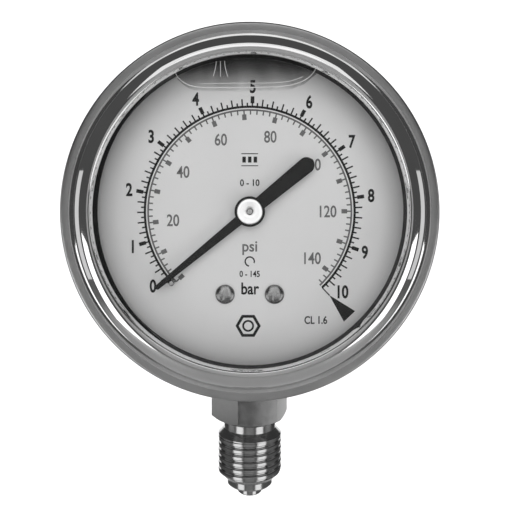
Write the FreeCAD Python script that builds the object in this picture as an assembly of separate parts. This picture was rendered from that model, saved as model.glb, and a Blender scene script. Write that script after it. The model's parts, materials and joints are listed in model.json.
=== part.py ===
import FreeCAD, Part
import math
import os

# Liquid-filled bourdon tube pressure gauge, size 63, bottom connection G 1/4 B.
# Millimetres. X to the right of the dial, +Y away from the reader (the dial faces -Y), Z up.
# The origin is on the stem's axis, at the lower end of the full process thread.

V = FreeCAD.Vector

# ---- overall sizes ----
DIAL_HEIGHT = 53.5          # thread end to dial centre
CASE_R = 31.25              # outside radius of the drawn case
CASE_BACK_Y = 10.0          # stem axis to the case's back face
CASE_WALL = 0.8
CASE_CORNER_R = 1.6
CASE_FLANGE_Y = -16.8       # front face of the case's flange
CASE_FLANGE_W = 2.4         # flange beyond the case's outside
SLIP = 0.05                 # radial play between pieces that only slide together
MOVE_GAP = 0.1              # gap between pieces that pass each other
TOUCH = 0.01                # edges nearer to a plane than this lie in it

# ---- crimped bezel ring ----
BEZEL_WALL = 0.6
BEZEL_BAND_W = 1.7          # flat band round the outside
BEZEL_BAND_Y = -17.8        # face of the flat band
BEZEL_HOLLOW_W = 2.1        # hollow wall between the band and the bead
BEZEL_HOLLOW_SAG_R = 0.45   # how far the hollow wall bows
BEZEL_HOLLOW_SAG_Y = 0.55
BEZEL_BEAD_R = 1.25         # round bead
BEZEL_CROWN_Y = -22.0
BEZEL_LIP_W = 0.4           # inner lip beyond the bead
BEZEL_LIP_Y = -20.55
BEZEL_LIP_T = 0.35
BEZEL_HEM_W = 2.1           # rolled hem behind the case flange
BEZEL_CORNER_R = 0.5

# ---- window and its gasket ----
WINDOW_T = 2.8
WINDOW_PLAY = 0.4           # rubber rim between the window and the bezel
WINDOW_RIM_T = 1.0
GASKET_REVEAL = 0.9         # gasket's bore beyond the bezel's lip
GASKET_FOOT_W = 0.85        # foot on the case flange
GASKET_END_Y = -14.4

# ---- dial ----
DIAL_COVER = 0.9            # dial hidden behind the gasket
DIAL_FACE_Y = -13.8
DIAL_T = 0.5
DIAL_HOLE_R = 1.6
DIAL_POST_X = 4.6
DIAL_POST_Z = -15.4
DIAL_POST_R = 2.1
DIAL_SCREW_HEAD_R = 1.8
DIAL_SCREW_HEAD_H = 0.75
DIAL_SCREW_R = 0.7
DIAL_SCREW_GRIP = 2.8       # thread in the post
PAN_ROUND = 0.6             # rounding of a pan head, as a share of its height
CROSS_W = 0.45              # width of a cross slot
CROSS_REACH = 0.62          # reach of a cross slot, as a share of the head's radius
CROSS_DEPTH = 0.7           # depth of a cross slot, as a share of the head's height

# ---- stem, hexagon and process thread (G 1/4 B) ----
HEX_AF = 14.0
HEX_TURN = 13.0             # degrees about the stem's axis
HEX_BOTTOM_Z = 11.0
HEX_GAP = 2.65              # hexagon's top to the case
HEX_CHAMFER_SLOPE = math.tan(math.radians(30))
THREAD_R = 6.5785
THREAD_LENGTH = 7.6
THREAD_CHAMFER = 1.4
NECK_R = 5.4
NECK_LOW_Z = 8.8
NECK_HIGH_Z = 10.2
NECK_TOP_R = 6.6
SPIGOT_R = 4.7
SPIGOT_END_Z = -3.1
SPIGOT_CHAMFER = 0.4
TIP_R = 2.5
TIP_LENGTH = 1.8
TIP_CHAMFER = 0.3
INLET_R = 1.25
RESTRICTOR_LENGTH = 3.5
RESTRICTOR_BORE_R = 0.3
RESTRICTOR_RECESS = 0.5     # behind the end of the tip
COLLAR_PLAY = 0.117         # collar beyond the hexagon's corners
COLLAR_RISE = 2.05          # collar inside the case

# ---- seal of the stem in the case ----
SEAL_WALL = 0.4
SEAL_FLANGE_W = 0.5
SEAL_FLANGE_T = 0.7
SEAL_OUTER_DROP = 0.8       # the case's wall curves away from the seal by this much
SEAL_INNER_RISE = 0.6

# ---- socket block ----
BLOCK_HALF_W = 7.5
BLOCK_TOP_DEPTH = 13.0      # below the dial centre
STUD_R = 1.05               # thread of a dial post in the block
STUD_LENGTH = 4.0

# ---- screws in the case's back ----
CASE_SCREW_EDGE = 4.0       # upper screw below the top of the block
CASE_SCREW_FOOT = 3.4       # lower screw above the collar
CASE_SCREW_R = 1.5
CASE_SCREW_LENGTH = 6.0
CASE_SCREW_HEAD_R = 2.75
CASE_SCREW_HEAD_H = 1.2
CASE_SCREW_ROUND = 0.5
CASE_SCREW_SPACE = 0.3      # left free at the bottom of the hole
CASE_SLOT_W = 0.9
CASE_SLOT_DEPTH = 0.6

# ---- bourdon tube ----
TUBE_R = 20.5               # centreline radius
TUBE_T = 2.6                # section, radially
TUBE_W = 9.0                # section, along the dial axis
TUBE_WALL = 0.4
TUBE_SEAT = 1.165           # how deep the root sits in the socket block
SEAT_SWEEP_DEG = 25         # stretch of the tube that the seat is cut with

# ---- movement frame ----
BACK_PLATE_Y = -7.5         # front face of the back plate
PLATE_T = 1.0
FRONT_PLATE_Y = -11.0       # back face of the front plate
PLATE_EDGE = 2.1            # plate edge beyond a pillar or arbor
LEFT_PILLARS = ((-4.6, 3.6), (-6.2, -8.6))
RIGHT_PILLAR_OFFSET = (1.95, 6.45)      # from the sector's arbor
PILLAR_R = 1.2
MOVEMENT_SCREW_R = 0.6
MOVEMENT_SCREW_HEAD_R = 1.15
MOVEMENT_SCREW_HEAD_H = 0.6
MOVEMENT_SLOT_W = 0.3
MOVEMENT_SCREW_GRIP = 1.8   # thread in the pillar
FOOT_MARGIN = 2.6           # foot of the back plate beyond the dial posts that clamp it

# ---- sector and pinion ----
GEAR_MODULE = 0.2
PINION_TEETH = 12
SECTOR_RATIO = 8            # sector pitch radius over pinion pitch radius
GEAR_CLEARANCE = 0.02       # added to the centre distance
TOOTH_ADDENDUM = 0.85 * GEAR_MODULE
TOOTH_DEDENDUM = 1.2 * GEAR_MODULE
TOOTH_PITCH_W = 1.3 * GEAR_MODULE
TOOTH_TIP_W = 0.6 * GEAR_MODULE
TOOTH_ROOT_W = 2.0 * GEAR_MODULE
SECTOR_TEETH = 12
SECTOR_AXIS_DEG = -45.0     # where the sector arbor lies from the pinion
SECTOR_Y = -9.85
SECTOR_T = 0.65
SECTOR_RIM_W = 1.5
SECTOR_HUB_R = 1.5
PINION_Y0 = -10.2
PINION_Y1 = -8.8
ARBOR_R = 0.4
ARBOR_SHOULDER_R = 0.75
ARBOR_END = 0.35            # arbor beyond a plate
ARBOR_PLAY = 0.03           # radial running clearance in the plates
POINTER_STOP_DEG = -129.3   # pointer at rest, clockwise from the top
POINTER_FULL_DEG = 136.0    # end of the pointer's travel
TAIL_LENGTH = 5.0

# ---- link and tube tip ----
SIDE_GAP = 0.05             # sideways play behind the lug
LINK_LENGTH = 7.5
LINK_W = 1.5
LINK_T = 0.65
LINK_END_R = 1.35
LINK_HOLE_R = 0.8           # at the tube's tip: the pivot with room to spare
TAIL_PIN_R = 0.5
PIN_PLAY = 0.05
LUG_T = 0.8
LUG_W = 1.9
TIP_BLOCK_LENGTH = 3.6
TIP_BLOCK_WALL = 0.3        # cap round the tube's section
TIP_PIN_HEAD_W = 0.35       # head beyond the link's hole
TIP_PIN_HEAD_T = 0.3
TAIL_PIN_HEAD_W = 0.4       # head beyond the pin
TAIL_PIN_HEAD_T = 0.35

# ---- hairspring ----
SPRING_TURNS = 5.0
SPRING_R_IN = 1.15
SPRING_R_OUT = 3.9
SPRING_STRIP_T = 0.1
SPRING_Y0 = -10.9
SPRING_Y1 = -10.45
COLLET_R = 0.95
SPRING_STUD_R = 0.45
SPRING_STUD_END = 0.15      # stud beyond the strip

# ---- pointer ----
POINTER_Y = -15.9           # front face
POINTER_T = 0.45
POINTER_TIP_LENGTH = 22.3
POINTER_TAIL_LENGTH = 14.9
POINTER_HUB_R = 2.8
POINTER_TIP_W = 0.9
POINTER_ROOT_W = 2.0
POINTER_TAIL_ROOT_W = 2.55
POINTER_TAIL_W = 3.0
HUB_R = 2.35
HUB_FRONT_Y = -16.7
HUB_ROUND = 0.15
HUB_BARREL = 0.8            # barrel behind the pointer
SPINDLE_R = 0.43
SPINDLE_FRONT_Y = -16.95
STOP_PIN_R = 0.5
STOP_PIN_PATH_R = 19.4
STOP_PIN_FRONT_Y = -16.3
STOP_PIN_ROUND = 0.4        # rounding of the end, as a share of the radius

# ---- filling plug ----
PLUG_Y = -3.0
PLUG_HOLE_R = 4.0
PLUG_HEAD_R = 5.0
PLUG_HEAD_H = 1.3
PLUG_INNER_H = 1.2
PLUG_SKIRT = 1.2            # head below the top of the case, before it is cut to the case's round
PLUG_BARB_W = 0.5           # barb beyond the hole, and its lead-in within it
PLUG_BARB_GAP = 0.4         # barb below the case's wall

# ---- worked out from the sizes above ----
BLOCK_FRONT_Y = BACK_PLATE_Y + PLATE_T
DIAL_BACK_Y = DIAL_FACE_Y + DIAL_T
WINDOW_BACK_Y = BEZEL_LIP_Y + WINDOW_T
CASE_BORE_R = CASE_R - CASE_WALL
CASE_FLOOR_Y = CASE_BACK_Y - CASE_WALL
CASE_FLANGE_R = CASE_R + CASE_FLANGE_W
BEZEL_R = CASE_FLANGE_R + SLIP + BEZEL_WALL
BEZEL_BAND_R = BEZEL_R - BEZEL_BAND_W
BEZEL_STEP_R = BEZEL_BAND_R - BEZEL_HOLLOW_W
BEZEL_CROWN_R = BEZEL_STEP_R - BEZEL_BEAD_R
BEZEL_LIP_R = BEZEL_CROWN_R - BEZEL_BEAD_R - BEZEL_LIP_W
BEZEL_SEAT_R = BEZEL_STEP_R - BEZEL_WALL
WINDOW_R = BEZEL_SEAT_R - WINDOW_PLAY
GASKET_R_IN = BEZEL_LIP_R + GASKET_REVEAL
GASKET_FOOT_R = CASE_BORE_R + GASKET_FOOT_W
DIAL_R = GASKET_R_IN + DIAL_COVER
HEX_TOP_Z = DIAL_HEIGHT - CASE_R - HEX_GAP
COLLAR_R = HEX_AF / math.sqrt(3) + COLLAR_PLAY
COLLAR_TOP_DEPTH = CASE_BORE_R - COLLAR_RISE
CASE_HOLE_R = COLLAR_R + SEAL_WALL
SEAL_FLANGE_R = CASE_HOLE_R + SEAL_FLANGE_W
CASE_SCREW_DEPTHS = (BLOCK_TOP_DEPTH + CASE_SCREW_EDGE, COLLAR_TOP_DEPTH - CASE_SCREW_FOOT)
TUBE_ROOT_DEG = 180 + math.degrees(math.acos((BLOCK_HALF_W - TUBE_SEAT) / TUBE_R))
PINION_R = GEAR_MODULE * PINION_TEETH / 2
SECTOR_R = PINION_R * SECTOR_RATIO
LINK_BACK_Y = BACK_PLATE_Y - SIDE_GAP - LUG_T - MOVE_GAP
CENTRE_DISTANCE = PINION_R + SECTOR_R + GEAR_CLEARANCE
TRAVEL_DEG = (POINTER_FULL_DEG - POINTER_STOP_DEG) / SECTOR_RATIO
TOOTH_STEP_DEG = 360.0 / (PINION_TEETH * SECTOR_RATIO)


def polar(radius, degrees, cx=0.0, cz=0.0):
    """A point (x, z) at an angle counter-clockwise from +X, seen from the front."""
    a = math.radians(degrees)
    return (cx + radius * math.cos(a), cz + radius * math.sin(a))


ARBOR = polar(CENTRE_DISTANCE, SECTOR_AXIS_DEG)
PILLARS = (*LEFT_PILLARS, (ARBOR[0] + RIGHT_PILLAR_OFFSET[0], ARBOR[1] + RIGHT_PILLAR_OFFSET[1]))

# As the tube unbends, its free end turns about the centroid of the tube's arc. In the middle of the
# travel the sector's tail is parallel to the line from that centroid to the tip pin, and the link
# is square to both.
TUBE_ARC = math.radians(TUBE_ROOT_DEG)
TIP_POLE = (TUBE_R * math.sin(TUBE_ARC) / TUBE_ARC, TUBE_R * (1 - math.cos(TUBE_ARC)) / TUBE_ARC)
POLE_TO_ARBOR = (ARBOR[0] - TIP_POLE[0], ARBOR[1] - TIP_POLE[1])
POLE_REACH = math.sqrt(math.hypot(*POLE_TO_ARBOR) ** 2 - LINK_LENGTH ** 2)
TAIL_MIDDLE_DEG = math.degrees(
    math.atan2(POLE_TO_ARBOR[1], POLE_TO_ARBOR[0]) + math.atan2(LINK_LENGTH, POLE_REACH)
)
TIP_PIN_R = TAIL_LENGTH + POLE_REACH
TAIL_STROKE = TAIL_LENGTH * math.sin(math.radians(TRAVEL_DEG / 2))
TIP_TURN_DEG = 2 * math.degrees(math.asin(TAIL_STROKE / TIP_PIN_R))
TAIL_PIN = polar(TAIL_LENGTH, TAIL_MIDDLE_DEG - TRAVEL_DEG / 2, *ARBOR)
TIP_PIN = polar(TIP_PIN_R, TAIL_MIDDLE_DEG - TIP_TURN_DEG / 2, *TIP_POLE)


def at(x, z, y):
    """A point given from the dial's centre."""
    return V(x, y, z + DIAL_HEIGHT)


def rod(x, z, radius, y0, y1):
    """A cylinder along the dial's axis, from y0 to y1."""
    low, high = min(y0, y1), max(y0, y1)
    return Part.makeCylinder(radius, high - low, at(x, z, low), V(0, 1, 0))


def ring(x, z, r_out, r_in, y0, y1):
    return rod(x, z, r_out, y0, y1).cut(rod(x, z, r_in, y0 - 1, y1 + 1))


def box(x0, x1, y0, y1, z0, z1):
    """A box, with its heights given from the dial's centre."""
    return Part.makeBox(x1 - x0, y1 - y0, z1 - z0, at(x0, z0, y0))


def plate(points, y0, y1):
    """A flat piece with straight edges through points (x, z)."""
    wire = Part.makePolygon([at(x, z, y0) for x, z in points + points[:1]])
    return Part.Face(wire).extrude(V(0, y1 - y0, 0))


def turned(points):
    """A solid turned about the dial's axis from an outline of (radius, y) points."""
    wire = Part.makePolygon([at(r, 0, y) for r, y in points + points[:1]])
    return Part.Face(wire).revolve(at(0, 0, 0), V(0, 1, 0), 360)


def upright(radius, z0, z1, x=0.0, y=0.0):
    """A cylinder along the stem's axis, with its heights given from the origin."""
    return Part.makeCylinder(radius, z1 - z0, V(x, y, z0), V(0, 0, 1))


def bar(a, b, width, y0, y1):
    """A straight strip between two points, with round ends."""
    length = math.hypot(b[0] - a[0], b[1] - a[1])
    ux, uz = (b[0] - a[0]) / length, (b[1] - a[1]) / length
    nx, nz = -uz * width / 2, ux * width / 2
    strip = plate([
        (a[0] + nx, a[1] + nz),
        (b[0] + nx, b[1] + nz),
        (b[0] - nx, b[1] - nz),
        (a[0] - nx, a[1] - nz),
    ], y0, y1)
    for x, z in (a, b):
        strip = strip.fuse(rod(x, z, width / 2, y0, y1))
    return strip.removeSplitter()


def turn(shape, clockwise, x=0.0, z=0.0):
    """Turn a shape about an axis along Y, clockwise as seen from the front."""
    copy = shape.copy()
    copy.rotate(at(x, z, 0), V(0, 1, 0), clockwise)
    return copy


def group(solids):
    return Part.makeCompound(solids)


def edges_at(shape, axis, place):
    """The edges that lie in the plane at one place along an axis, which is "Y" or "Z"."""
    found = []
    for edge in shape.Edges:
        low = getattr(edge.BoundBox, axis + "Min")
        high = getattr(edge.BoundBox, axis + "Max")
        if abs(low - place) < TOUCH and high - low < TOUCH:
            found.append(edge)
    return found


def case_shell():
    outer = rod(0, 0, CASE_R, CASE_FLANGE_Y, CASE_BACK_Y)
    inner = rod(0, 0, CASE_BORE_R, CASE_FLANGE_Y - 1, CASE_FLOOR_Y)
    outer = outer.makeFillet(CASE_CORNER_R, edges_at(outer, "Y", CASE_BACK_Y))
    inner = inner.makeFillet(CASE_CORNER_R - CASE_WALL, edges_at(inner, "Y", CASE_FLOOR_Y))
    flange = rod(0, 0, CASE_FLANGE_R, CASE_FLANGE_Y, CASE_FLANGE_Y + CASE_WALL)
    shell = outer.fuse(flange).cut(inner)
    shell = shell.cut(upright(CASE_HOLE_R, 0, DIAL_HEIGHT - CASE_BORE_R / 2))
    shell = shell.cut(upright(PLUG_HOLE_R, DIAL_HEIGHT, DIAL_HEIGHT + CASE_R + 1, y=PLUG_Y))
    for depth in CASE_SCREW_DEPTHS:
        shell = shell.cut(rod(0, -depth, CASE_SCREW_R + SLIP, CASE_FLOOR_Y - 1, CASE_BACK_Y + 1))
    return shell


def bezel_ring():
    """One rolled section: band, hollow wall, round bead and lip, with a hem behind the case flange."""
    w = BEZEL_WALL
    bead_y = BEZEL_CROWN_Y + BEZEL_BEAD_R
    hem_y = CASE_FLANGE_Y + CASE_WALL + SLIP

    def p(r, y):
        return at(r, 0, y)

    hollow_mid = p(BEZEL_STEP_R + BEZEL_HOLLOW_SAG_R, (BEZEL_BAND_Y + bead_y) / 2 + BEZEL_HOLLOW_SAG_Y)
    bead_mid = p(BEZEL_CROWN_R, BEZEL_CROWN_Y)
    bead_end = p(BEZEL_CROWN_R - BEZEL_BEAD_R, bead_y)
    lip_edge = p(BEZEL_LIP_R, BEZEL_LIP_Y - BEZEL_LIP_T)
    seat_foot_y = BEZEL_BAND_Y + w * 0.2
    foot_r = GASKET_FOOT_R + SLIP
    flange_r = CASE_FLANGE_R + SLIP
    hem_r = BEZEL_R - BEZEL_HEM_W
    corner = BEZEL_CORNER_R
    diagonal = corner * (1 - math.sqrt(0.5))
    front = [
        Part.LineSegment(p(BEZEL_R, hem_y + w), p(BEZEL_R, BEZEL_BAND_Y + corner)).toShape(),
        Part.Arc(
            p(BEZEL_R, BEZEL_BAND_Y + corner),
            p(BEZEL_R - diagonal, BEZEL_BAND_Y + diagonal),
            p(BEZEL_R - corner, BEZEL_BAND_Y),
        ).toShape(),
        Part.LineSegment(p(BEZEL_R - corner, BEZEL_BAND_Y), p(BEZEL_BAND_R, BEZEL_BAND_Y)).toShape(),
        Part.Arc(p(BEZEL_BAND_R, BEZEL_BAND_Y), hollow_mid, p(BEZEL_STEP_R, bead_y)).toShape(),
        Part.Arc(p(BEZEL_STEP_R, bead_y), bead_mid, bead_end).toShape(),
    ]
    inside = [
        bead_end,
        lip_edge,
        p(BEZEL_LIP_R, BEZEL_LIP_Y),
        p(BEZEL_SEAT_R, BEZEL_LIP_Y),
        p(BEZEL_SEAT_R, seat_foot_y),
        p(foot_r, BEZEL_BAND_Y + w),
        p(foot_r, CASE_FLANGE_Y),
        p(flange_r, CASE_FLANGE_Y),
        p(flange_r, hem_y),
        p(hem_r, hem_y),
        p(hem_r, hem_y + w),
        p(BEZEL_R, hem_y + w),
    ]
    wire = Part.Wire(Part.__sortEdges__(front + Part.makePolygon(inside).Edges))
    return Part.Face(wire).revolve(at(0, 0, 0), V(0, 1, 0), 360)


def window_glass():
    return rod(0, 0, WINDOW_R, BEZEL_LIP_Y, WINDOW_BACK_Y)


def window_gasket():
    """Rubber ring: a foot on the case flange, a sleeve in the case's mouth and a rim round the window."""
    sleeve_r = CASE_BORE_R - SLIP
    rim_r = BEZEL_SEAT_R - SLIP
    rim_y = WINDOW_BACK_Y - WINDOW_RIM_T
    return turned([
        (GASKET_R_IN, GASKET_END_Y),
        (GASKET_R_IN, WINDOW_BACK_Y),
        (WINDOW_R, WINDOW_BACK_Y),
        (WINDOW_R, rim_y),
        (rim_r, rim_y),
        (rim_r, BEZEL_BAND_Y + BEZEL_WALL),
        (GASKET_FOOT_R, BEZEL_BAND_Y + BEZEL_WALL + SLIP),
        (GASKET_FOOT_R, CASE_FLANGE_Y),
        (sleeve_r, CASE_FLANGE_Y),
        (sleeve_r, GASKET_END_Y),
    ])


def fill_plug():
    """Rubber plug in the top of the case: a domed head, a waist in the hole and a barbed end."""
    top = DIAL_HEIGHT + CASE_R
    head = upright(PLUG_HEAD_R, top - PLUG_SKIRT, top + PLUG_HEAD_H, y=PLUG_Y)
    head = head.makeFillet(PLUG_HEAD_H / 2, edges_at(head, "Z", top + PLUG_HEAD_H))
    head = head.cut(rod(0, 0, CASE_R, CASE_FLANGE_Y, CASE_BACK_Y))
    waist = upright(PLUG_HOLE_R, top - PLUG_INNER_H - CASE_WALL, top, y=PLUG_Y)
    barb = Part.makeCone(
        PLUG_HOLE_R - PLUG_BARB_W, PLUG_HOLE_R + PLUG_BARB_W, PLUG_INNER_H,
        V(0, PLUG_Y, top - CASE_WALL - PLUG_INNER_H - PLUG_BARB_GAP),
    )
    barb = barb.common(rod(0, 0, CASE_BORE_R, CASE_FLANGE_Y, CASE_FLOOR_Y))
    plug = head.fuse(waist).fuse(barb)
    return plug.removeSplitter()


def hexagon(across_flats, z0, z1):
    corner_r = across_flats / math.sqrt(3)
    points = []
    for k in range(7):
        a = math.radians(HEX_TURN + 60 * k)
        points.append(V(corner_r * math.cos(a), corner_r * math.sin(a), z0))
    prism = Part.Face(Part.makePolygon(points)).extrude(V(0, 0, z1 - z0))
    flat_r = across_flats / 2
    low = Part.makeCone(flat_r, flat_r + (z1 - z0) / HEX_CHAMFER_SLOPE, z1 - z0, V(0, 0, z0))
    high = Part.makeCone(flat_r + (z1 - z0) / HEX_CHAMFER_SLOPE, flat_r, z1 - z0, V(0, 0, z0))
    return prism.common(low).common(high)


def socket_block():
    """The square block inside the case that the tube and the movement are mounted on."""
    return box(
        -BLOCK_HALF_W, BLOCK_HALF_W, BLOCK_FRONT_Y, CASE_FLOOR_Y,
        -COLLAR_TOP_DEPTH, -BLOCK_TOP_DEPTH,
    )


def socket_stem():
    """One machined piece: pilot tip, thread, neck, hexagon, collar and socket block."""
    outline = [
        (0, SPIGOT_END_Z - TIP_LENGTH),
        (TIP_R - TIP_CHAMFER, SPIGOT_END_Z - TIP_LENGTH),
        (TIP_R, SPIGOT_END_Z - TIP_LENGTH + TIP_CHAMFER),
        (TIP_R, SPIGOT_END_Z),
        (SPIGOT_R - SPIGOT_CHAMFER, SPIGOT_END_Z),
        (SPIGOT_R, SPIGOT_END_Z + SPIGOT_CHAMFER),
        (SPIGOT_R, -THREAD_CHAMFER),
        (THREAD_R - THREAD_CHAMFER, -THREAD_CHAMFER),
        (THREAD_R, 0),
        (THREAD_R, THREAD_LENGTH),
        (NECK_R, NECK_LOW_Z),
        (NECK_R, NECK_HIGH_Z),
        (NECK_TOP_R, HEX_BOTTOM_Z),
        (0, HEX_BOTTOM_Z),
    ]
    wire = Part.makePolygon([V(r, 0, z) for r, z in outline + outline[:1]])
    shank = Part.Face(wire).revolve(V(0, 0, 0), V(0, 0, 1), 360)
    hexagonal = hexagon(HEX_AF, HEX_BOTTOM_Z, HEX_TOP_Z)
    collar_top = DIAL_HEIGHT - COLLAR_TOP_DEPTH
    collar = upright(COLLAR_R, HEX_TOP_Z, collar_top)
    block = socket_block()
    block = block.common(rod(0, 0, CASE_BORE_R - SLIP, BLOCK_FRONT_Y - 1, CASE_FLOOR_Y + 1))
    stem = shank.fuse(hexagonal).fuse(collar).fuse(block)
    root = polar(TUBE_R, TUBE_ROOT_DEG)
    stem = stem.cut(upright(INLET_R, SPIGOT_END_Z - TIP_LENGTH - 1, DIAL_HEIGHT + root[1]))
    side = V(-BLOCK_HALF_W - 1, 0, DIAL_HEIGHT + root[1])
    stem = stem.cut(Part.makeCylinder(INLET_R, BLOCK_HALF_W + 1, side, V(1, 0, 0)))
    stem = stem.cut(tube_section(TUBE_ROOT_DEG, TUBE_ROOT_DEG - SEAT_SWEEP_DEG, 0))
    for depth in CASE_SCREW_DEPTHS:
        stem = stem.cut(rod(0, -depth, CASE_SCREW_R, CASE_BACK_Y - CASE_SCREW_LENGTH, CASE_BACK_Y))
    for x in (-DIAL_POST_X, DIAL_POST_X):
        stem = stem.cut(rod(x, DIAL_POST_Z, STUD_R, BLOCK_FRONT_Y - 1, BLOCK_FRONT_Y + STUD_LENGTH))
    return stem.removeSplitter()


def stem_seal():
    """Rubber grommet between the collar and the case wall, grooved for the case wall."""
    low = DIAL_HEIGHT - CASE_R - SEAL_FLANGE_T - SEAL_OUTER_DROP
    high = DIAL_HEIGHT - CASE_BORE_R + SEAL_FLANGE_T + SEAL_INNER_RISE
    seal = upright(SEAL_FLANGE_R, low, high).cut(upright(COLLAR_R, low - 1, high + 1))
    return seal.cut(case_shell()).cut(socket_block())


def tube_section(start_deg, sweep_to_deg, shrink):
    """A stretch of the bourdon tube, as a flat section turned about the dial's axis."""
    half_t = TUBE_T / 2 - shrink
    half_w = TUBE_W / 2 - shrink
    straight = half_w - half_t
    edges = [
        Part.LineSegment(at(TUBE_R + half_t, 0, -straight), at(TUBE_R + half_t, 0, straight)).toShape(),
        Part.Arc(
            at(TUBE_R + half_t, 0, straight), at(TUBE_R, 0, half_w), at(TUBE_R - half_t, 0, straight)
        ).toShape(),
        Part.LineSegment(at(TUBE_R - half_t, 0, straight), at(TUBE_R - half_t, 0, -straight)).toShape(),
        Part.Arc(
            at(TUBE_R - half_t, 0, -straight), at(TUBE_R, 0, -half_w), at(TUBE_R + half_t, 0, -straight)
        ).toShape(),
    ]
    face = Part.Face(Part.Wire(edges))
    sweep = face.revolve(at(0, 0, 0), V(0, 1, 0), start_deg - sweep_to_deg)
    return turn(sweep, -start_deg)


def bourdon_tube():
    sweep = TUBE_ROOT_DEG
    outside = tube_section(TUBE_ROOT_DEG, TUBE_ROOT_DEG - sweep, 0)
    return outside.cut(tube_section(TUBE_ROOT_DEG, TUBE_ROOT_DEG - sweep, TUBE_WALL))


def tip_block():
    """Cap on the tube's free end, with a lug that reaches forward and in to the link."""
    half_t = TUBE_T / 2 + TIP_BLOCK_WALL
    half_w = TUBE_W / 2 + TIP_BLOCK_WALL
    lug_y = BACK_PLATE_Y - SIDE_GAP
    cap = box(TUBE_R - half_t, TUBE_R + half_t, -half_w, half_w, -TIP_BLOCK_LENGTH, 0)
    arm = box(
        TUBE_R - half_t, TUBE_R + half_t, lug_y - LUG_T, -half_w,
        -TIP_BLOCK_LENGTH, -TIP_BLOCK_LENGTH + LUG_W,
    )
    middle_z = -TIP_BLOCK_LENGTH + LUG_W / 2
    lug = bar(TIP_PIN, (TUBE_R, middle_z), LUG_W, lug_y - LUG_T, lug_y)
    block = cap.fuse(arm).fuse(lug)
    block = block.cut(rod(TIP_PIN[0], TIP_PIN[1], TAIL_PIN_R, lug_y - LUG_T - 1, lug_y + 1))
    return block.removeSplitter()


def tip_pin():
    """Rivet through the lug; the link hangs on it with room to spare."""
    lug_back = BACK_PLATE_Y - SIDE_GAP
    link_front = LINK_BACK_Y - LINK_T
    head_back = link_front - MOVE_GAP
    pin = rod(*TIP_PIN, TAIL_PIN_R, head_back, lug_back)
    head = rod(*TIP_PIN, LINK_HOLE_R + TIP_PIN_HEAD_W, head_back - TIP_PIN_HEAD_T, head_back)
    return pin.fuse(head)


def link():
    front = LINK_BACK_Y - LINK_T
    strip = bar(TAIL_PIN, TIP_PIN, LINK_W, front, LINK_BACK_Y)
    for x, z in (TAIL_PIN, TIP_PIN):
        strip = strip.fuse(rod(x, z, LINK_END_R, front, LINK_BACK_Y))
    strip = strip.cut(rod(TAIL_PIN[0], TAIL_PIN[1], TAIL_PIN_R + PIN_PLAY, front - 1, LINK_BACK_Y + 1))
    strip = strip.cut(rod(TIP_PIN[0], TIP_PIN[1], LINK_HOLE_R, front - 1, LINK_BACK_Y + 1))
    return strip.removeSplitter()


def tail_pin():
    """Rivet in the sector's tail that carries the link."""
    head_front = LINK_BACK_Y + PIN_PLAY
    pin = rod(*TAIL_PIN, TAIL_PIN_R, SECTOR_Y, head_front)
    head = rod(*TAIL_PIN, TAIL_PIN_R + TAIL_PIN_HEAD_W, head_front, head_front + TAIL_PIN_HEAD_T)
    return pin.fuse(head)


def tooth(pitch_r, degrees, cx, cz, y0, y1):
    """One gear tooth: straight flanks, wider at the root."""
    root_r = pitch_r - TOOTH_DEDENDUM - 0.05
    points = [
        (root_r, -TOOTH_ROOT_W / 2),
        (pitch_r, -TOOTH_PITCH_W / 2),
        (pitch_r + TOOTH_ADDENDUM, -TOOTH_TIP_W / 2),
        (pitch_r + TOOTH_ADDENDUM, TOOTH_TIP_W / 2),
        (pitch_r, TOOTH_PITCH_W / 2),
        (root_r, TOOTH_ROOT_W / 2),
    ]
    cos, sin = math.cos(math.radians(degrees)), math.sin(math.radians(degrees))
    placed = [(cx + u * cos - v * sin, cz + u * sin + v * cos) for u, v in points]
    return plate(placed, y0, y1)


def sector_tooth_angles():
    middle = SECTOR_AXIS_DEG + 180 - TRAVEL_DEG / 2
    return [middle + (k - (SECTOR_TEETH - 1) / 2) * TOOTH_STEP_DEG for k in range(SECTOR_TEETH)]


def sector_gear():
    """Toothed rim on two spokes, with a tail for the link."""
    y0, y1 = SECTOR_Y, SECTOR_Y + SECTOR_T
    angles = sector_tooth_angles()
    first, last = angles[0] - TOOTH_STEP_DEG / 2, angles[-1] + TOOTH_STEP_DEG / 2
    rim_r = SECTOR_R - TOOTH_DEDENDUM
    rim = ring(*ARBOR, rim_r, rim_r - SECTOR_RIM_W, y0, y1)
    far = SECTOR_R * 1.5
    spread = [polar(far, angle, *ARBOR) for angle in (first, (first + last) / 2, last)]
    wedge = plate([ARBOR] + spread, y0, y1)
    sector = rim.common(wedge)
    for angle in angles:
        sector = sector.fuse(tooth(SECTOR_R, angle, *ARBOR, y0, y1))
    for angle in (first + 5, last - 5):
        sector = sector.fuse(bar(ARBOR, polar(rim_r - SECTOR_RIM_W / 2, angle, *ARBOR), 1.2, y0, y1))
    sector = sector.fuse(bar(ARBOR, TAIL_PIN, 1.7, y0, y1))
    sector = sector.fuse(rod(*ARBOR, SECTOR_HUB_R, y0, y1))
    sector = sector.cut(rod(*ARBOR, ARBOR_SHOULDER_R, y0 - 1, y1 + 1))
    sector = sector.cut(rod(*TAIL_PIN, TAIL_PIN_R, y0 - 1, y1 + 1))
    return sector.removeSplitter()


def sector_arbor():
    front, back = FRONT_PLATE_Y - PLATE_T - ARBOR_END, BACK_PLATE_Y + PLATE_T - 0.05
    arbor = rod(*ARBOR, ARBOR_R, front, back)
    return arbor.fuse(rod(*ARBOR, ARBOR_SHOULDER_R, FRONT_PLATE_Y + MOVE_GAP, BACK_PLATE_Y - MOVE_GAP))


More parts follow.
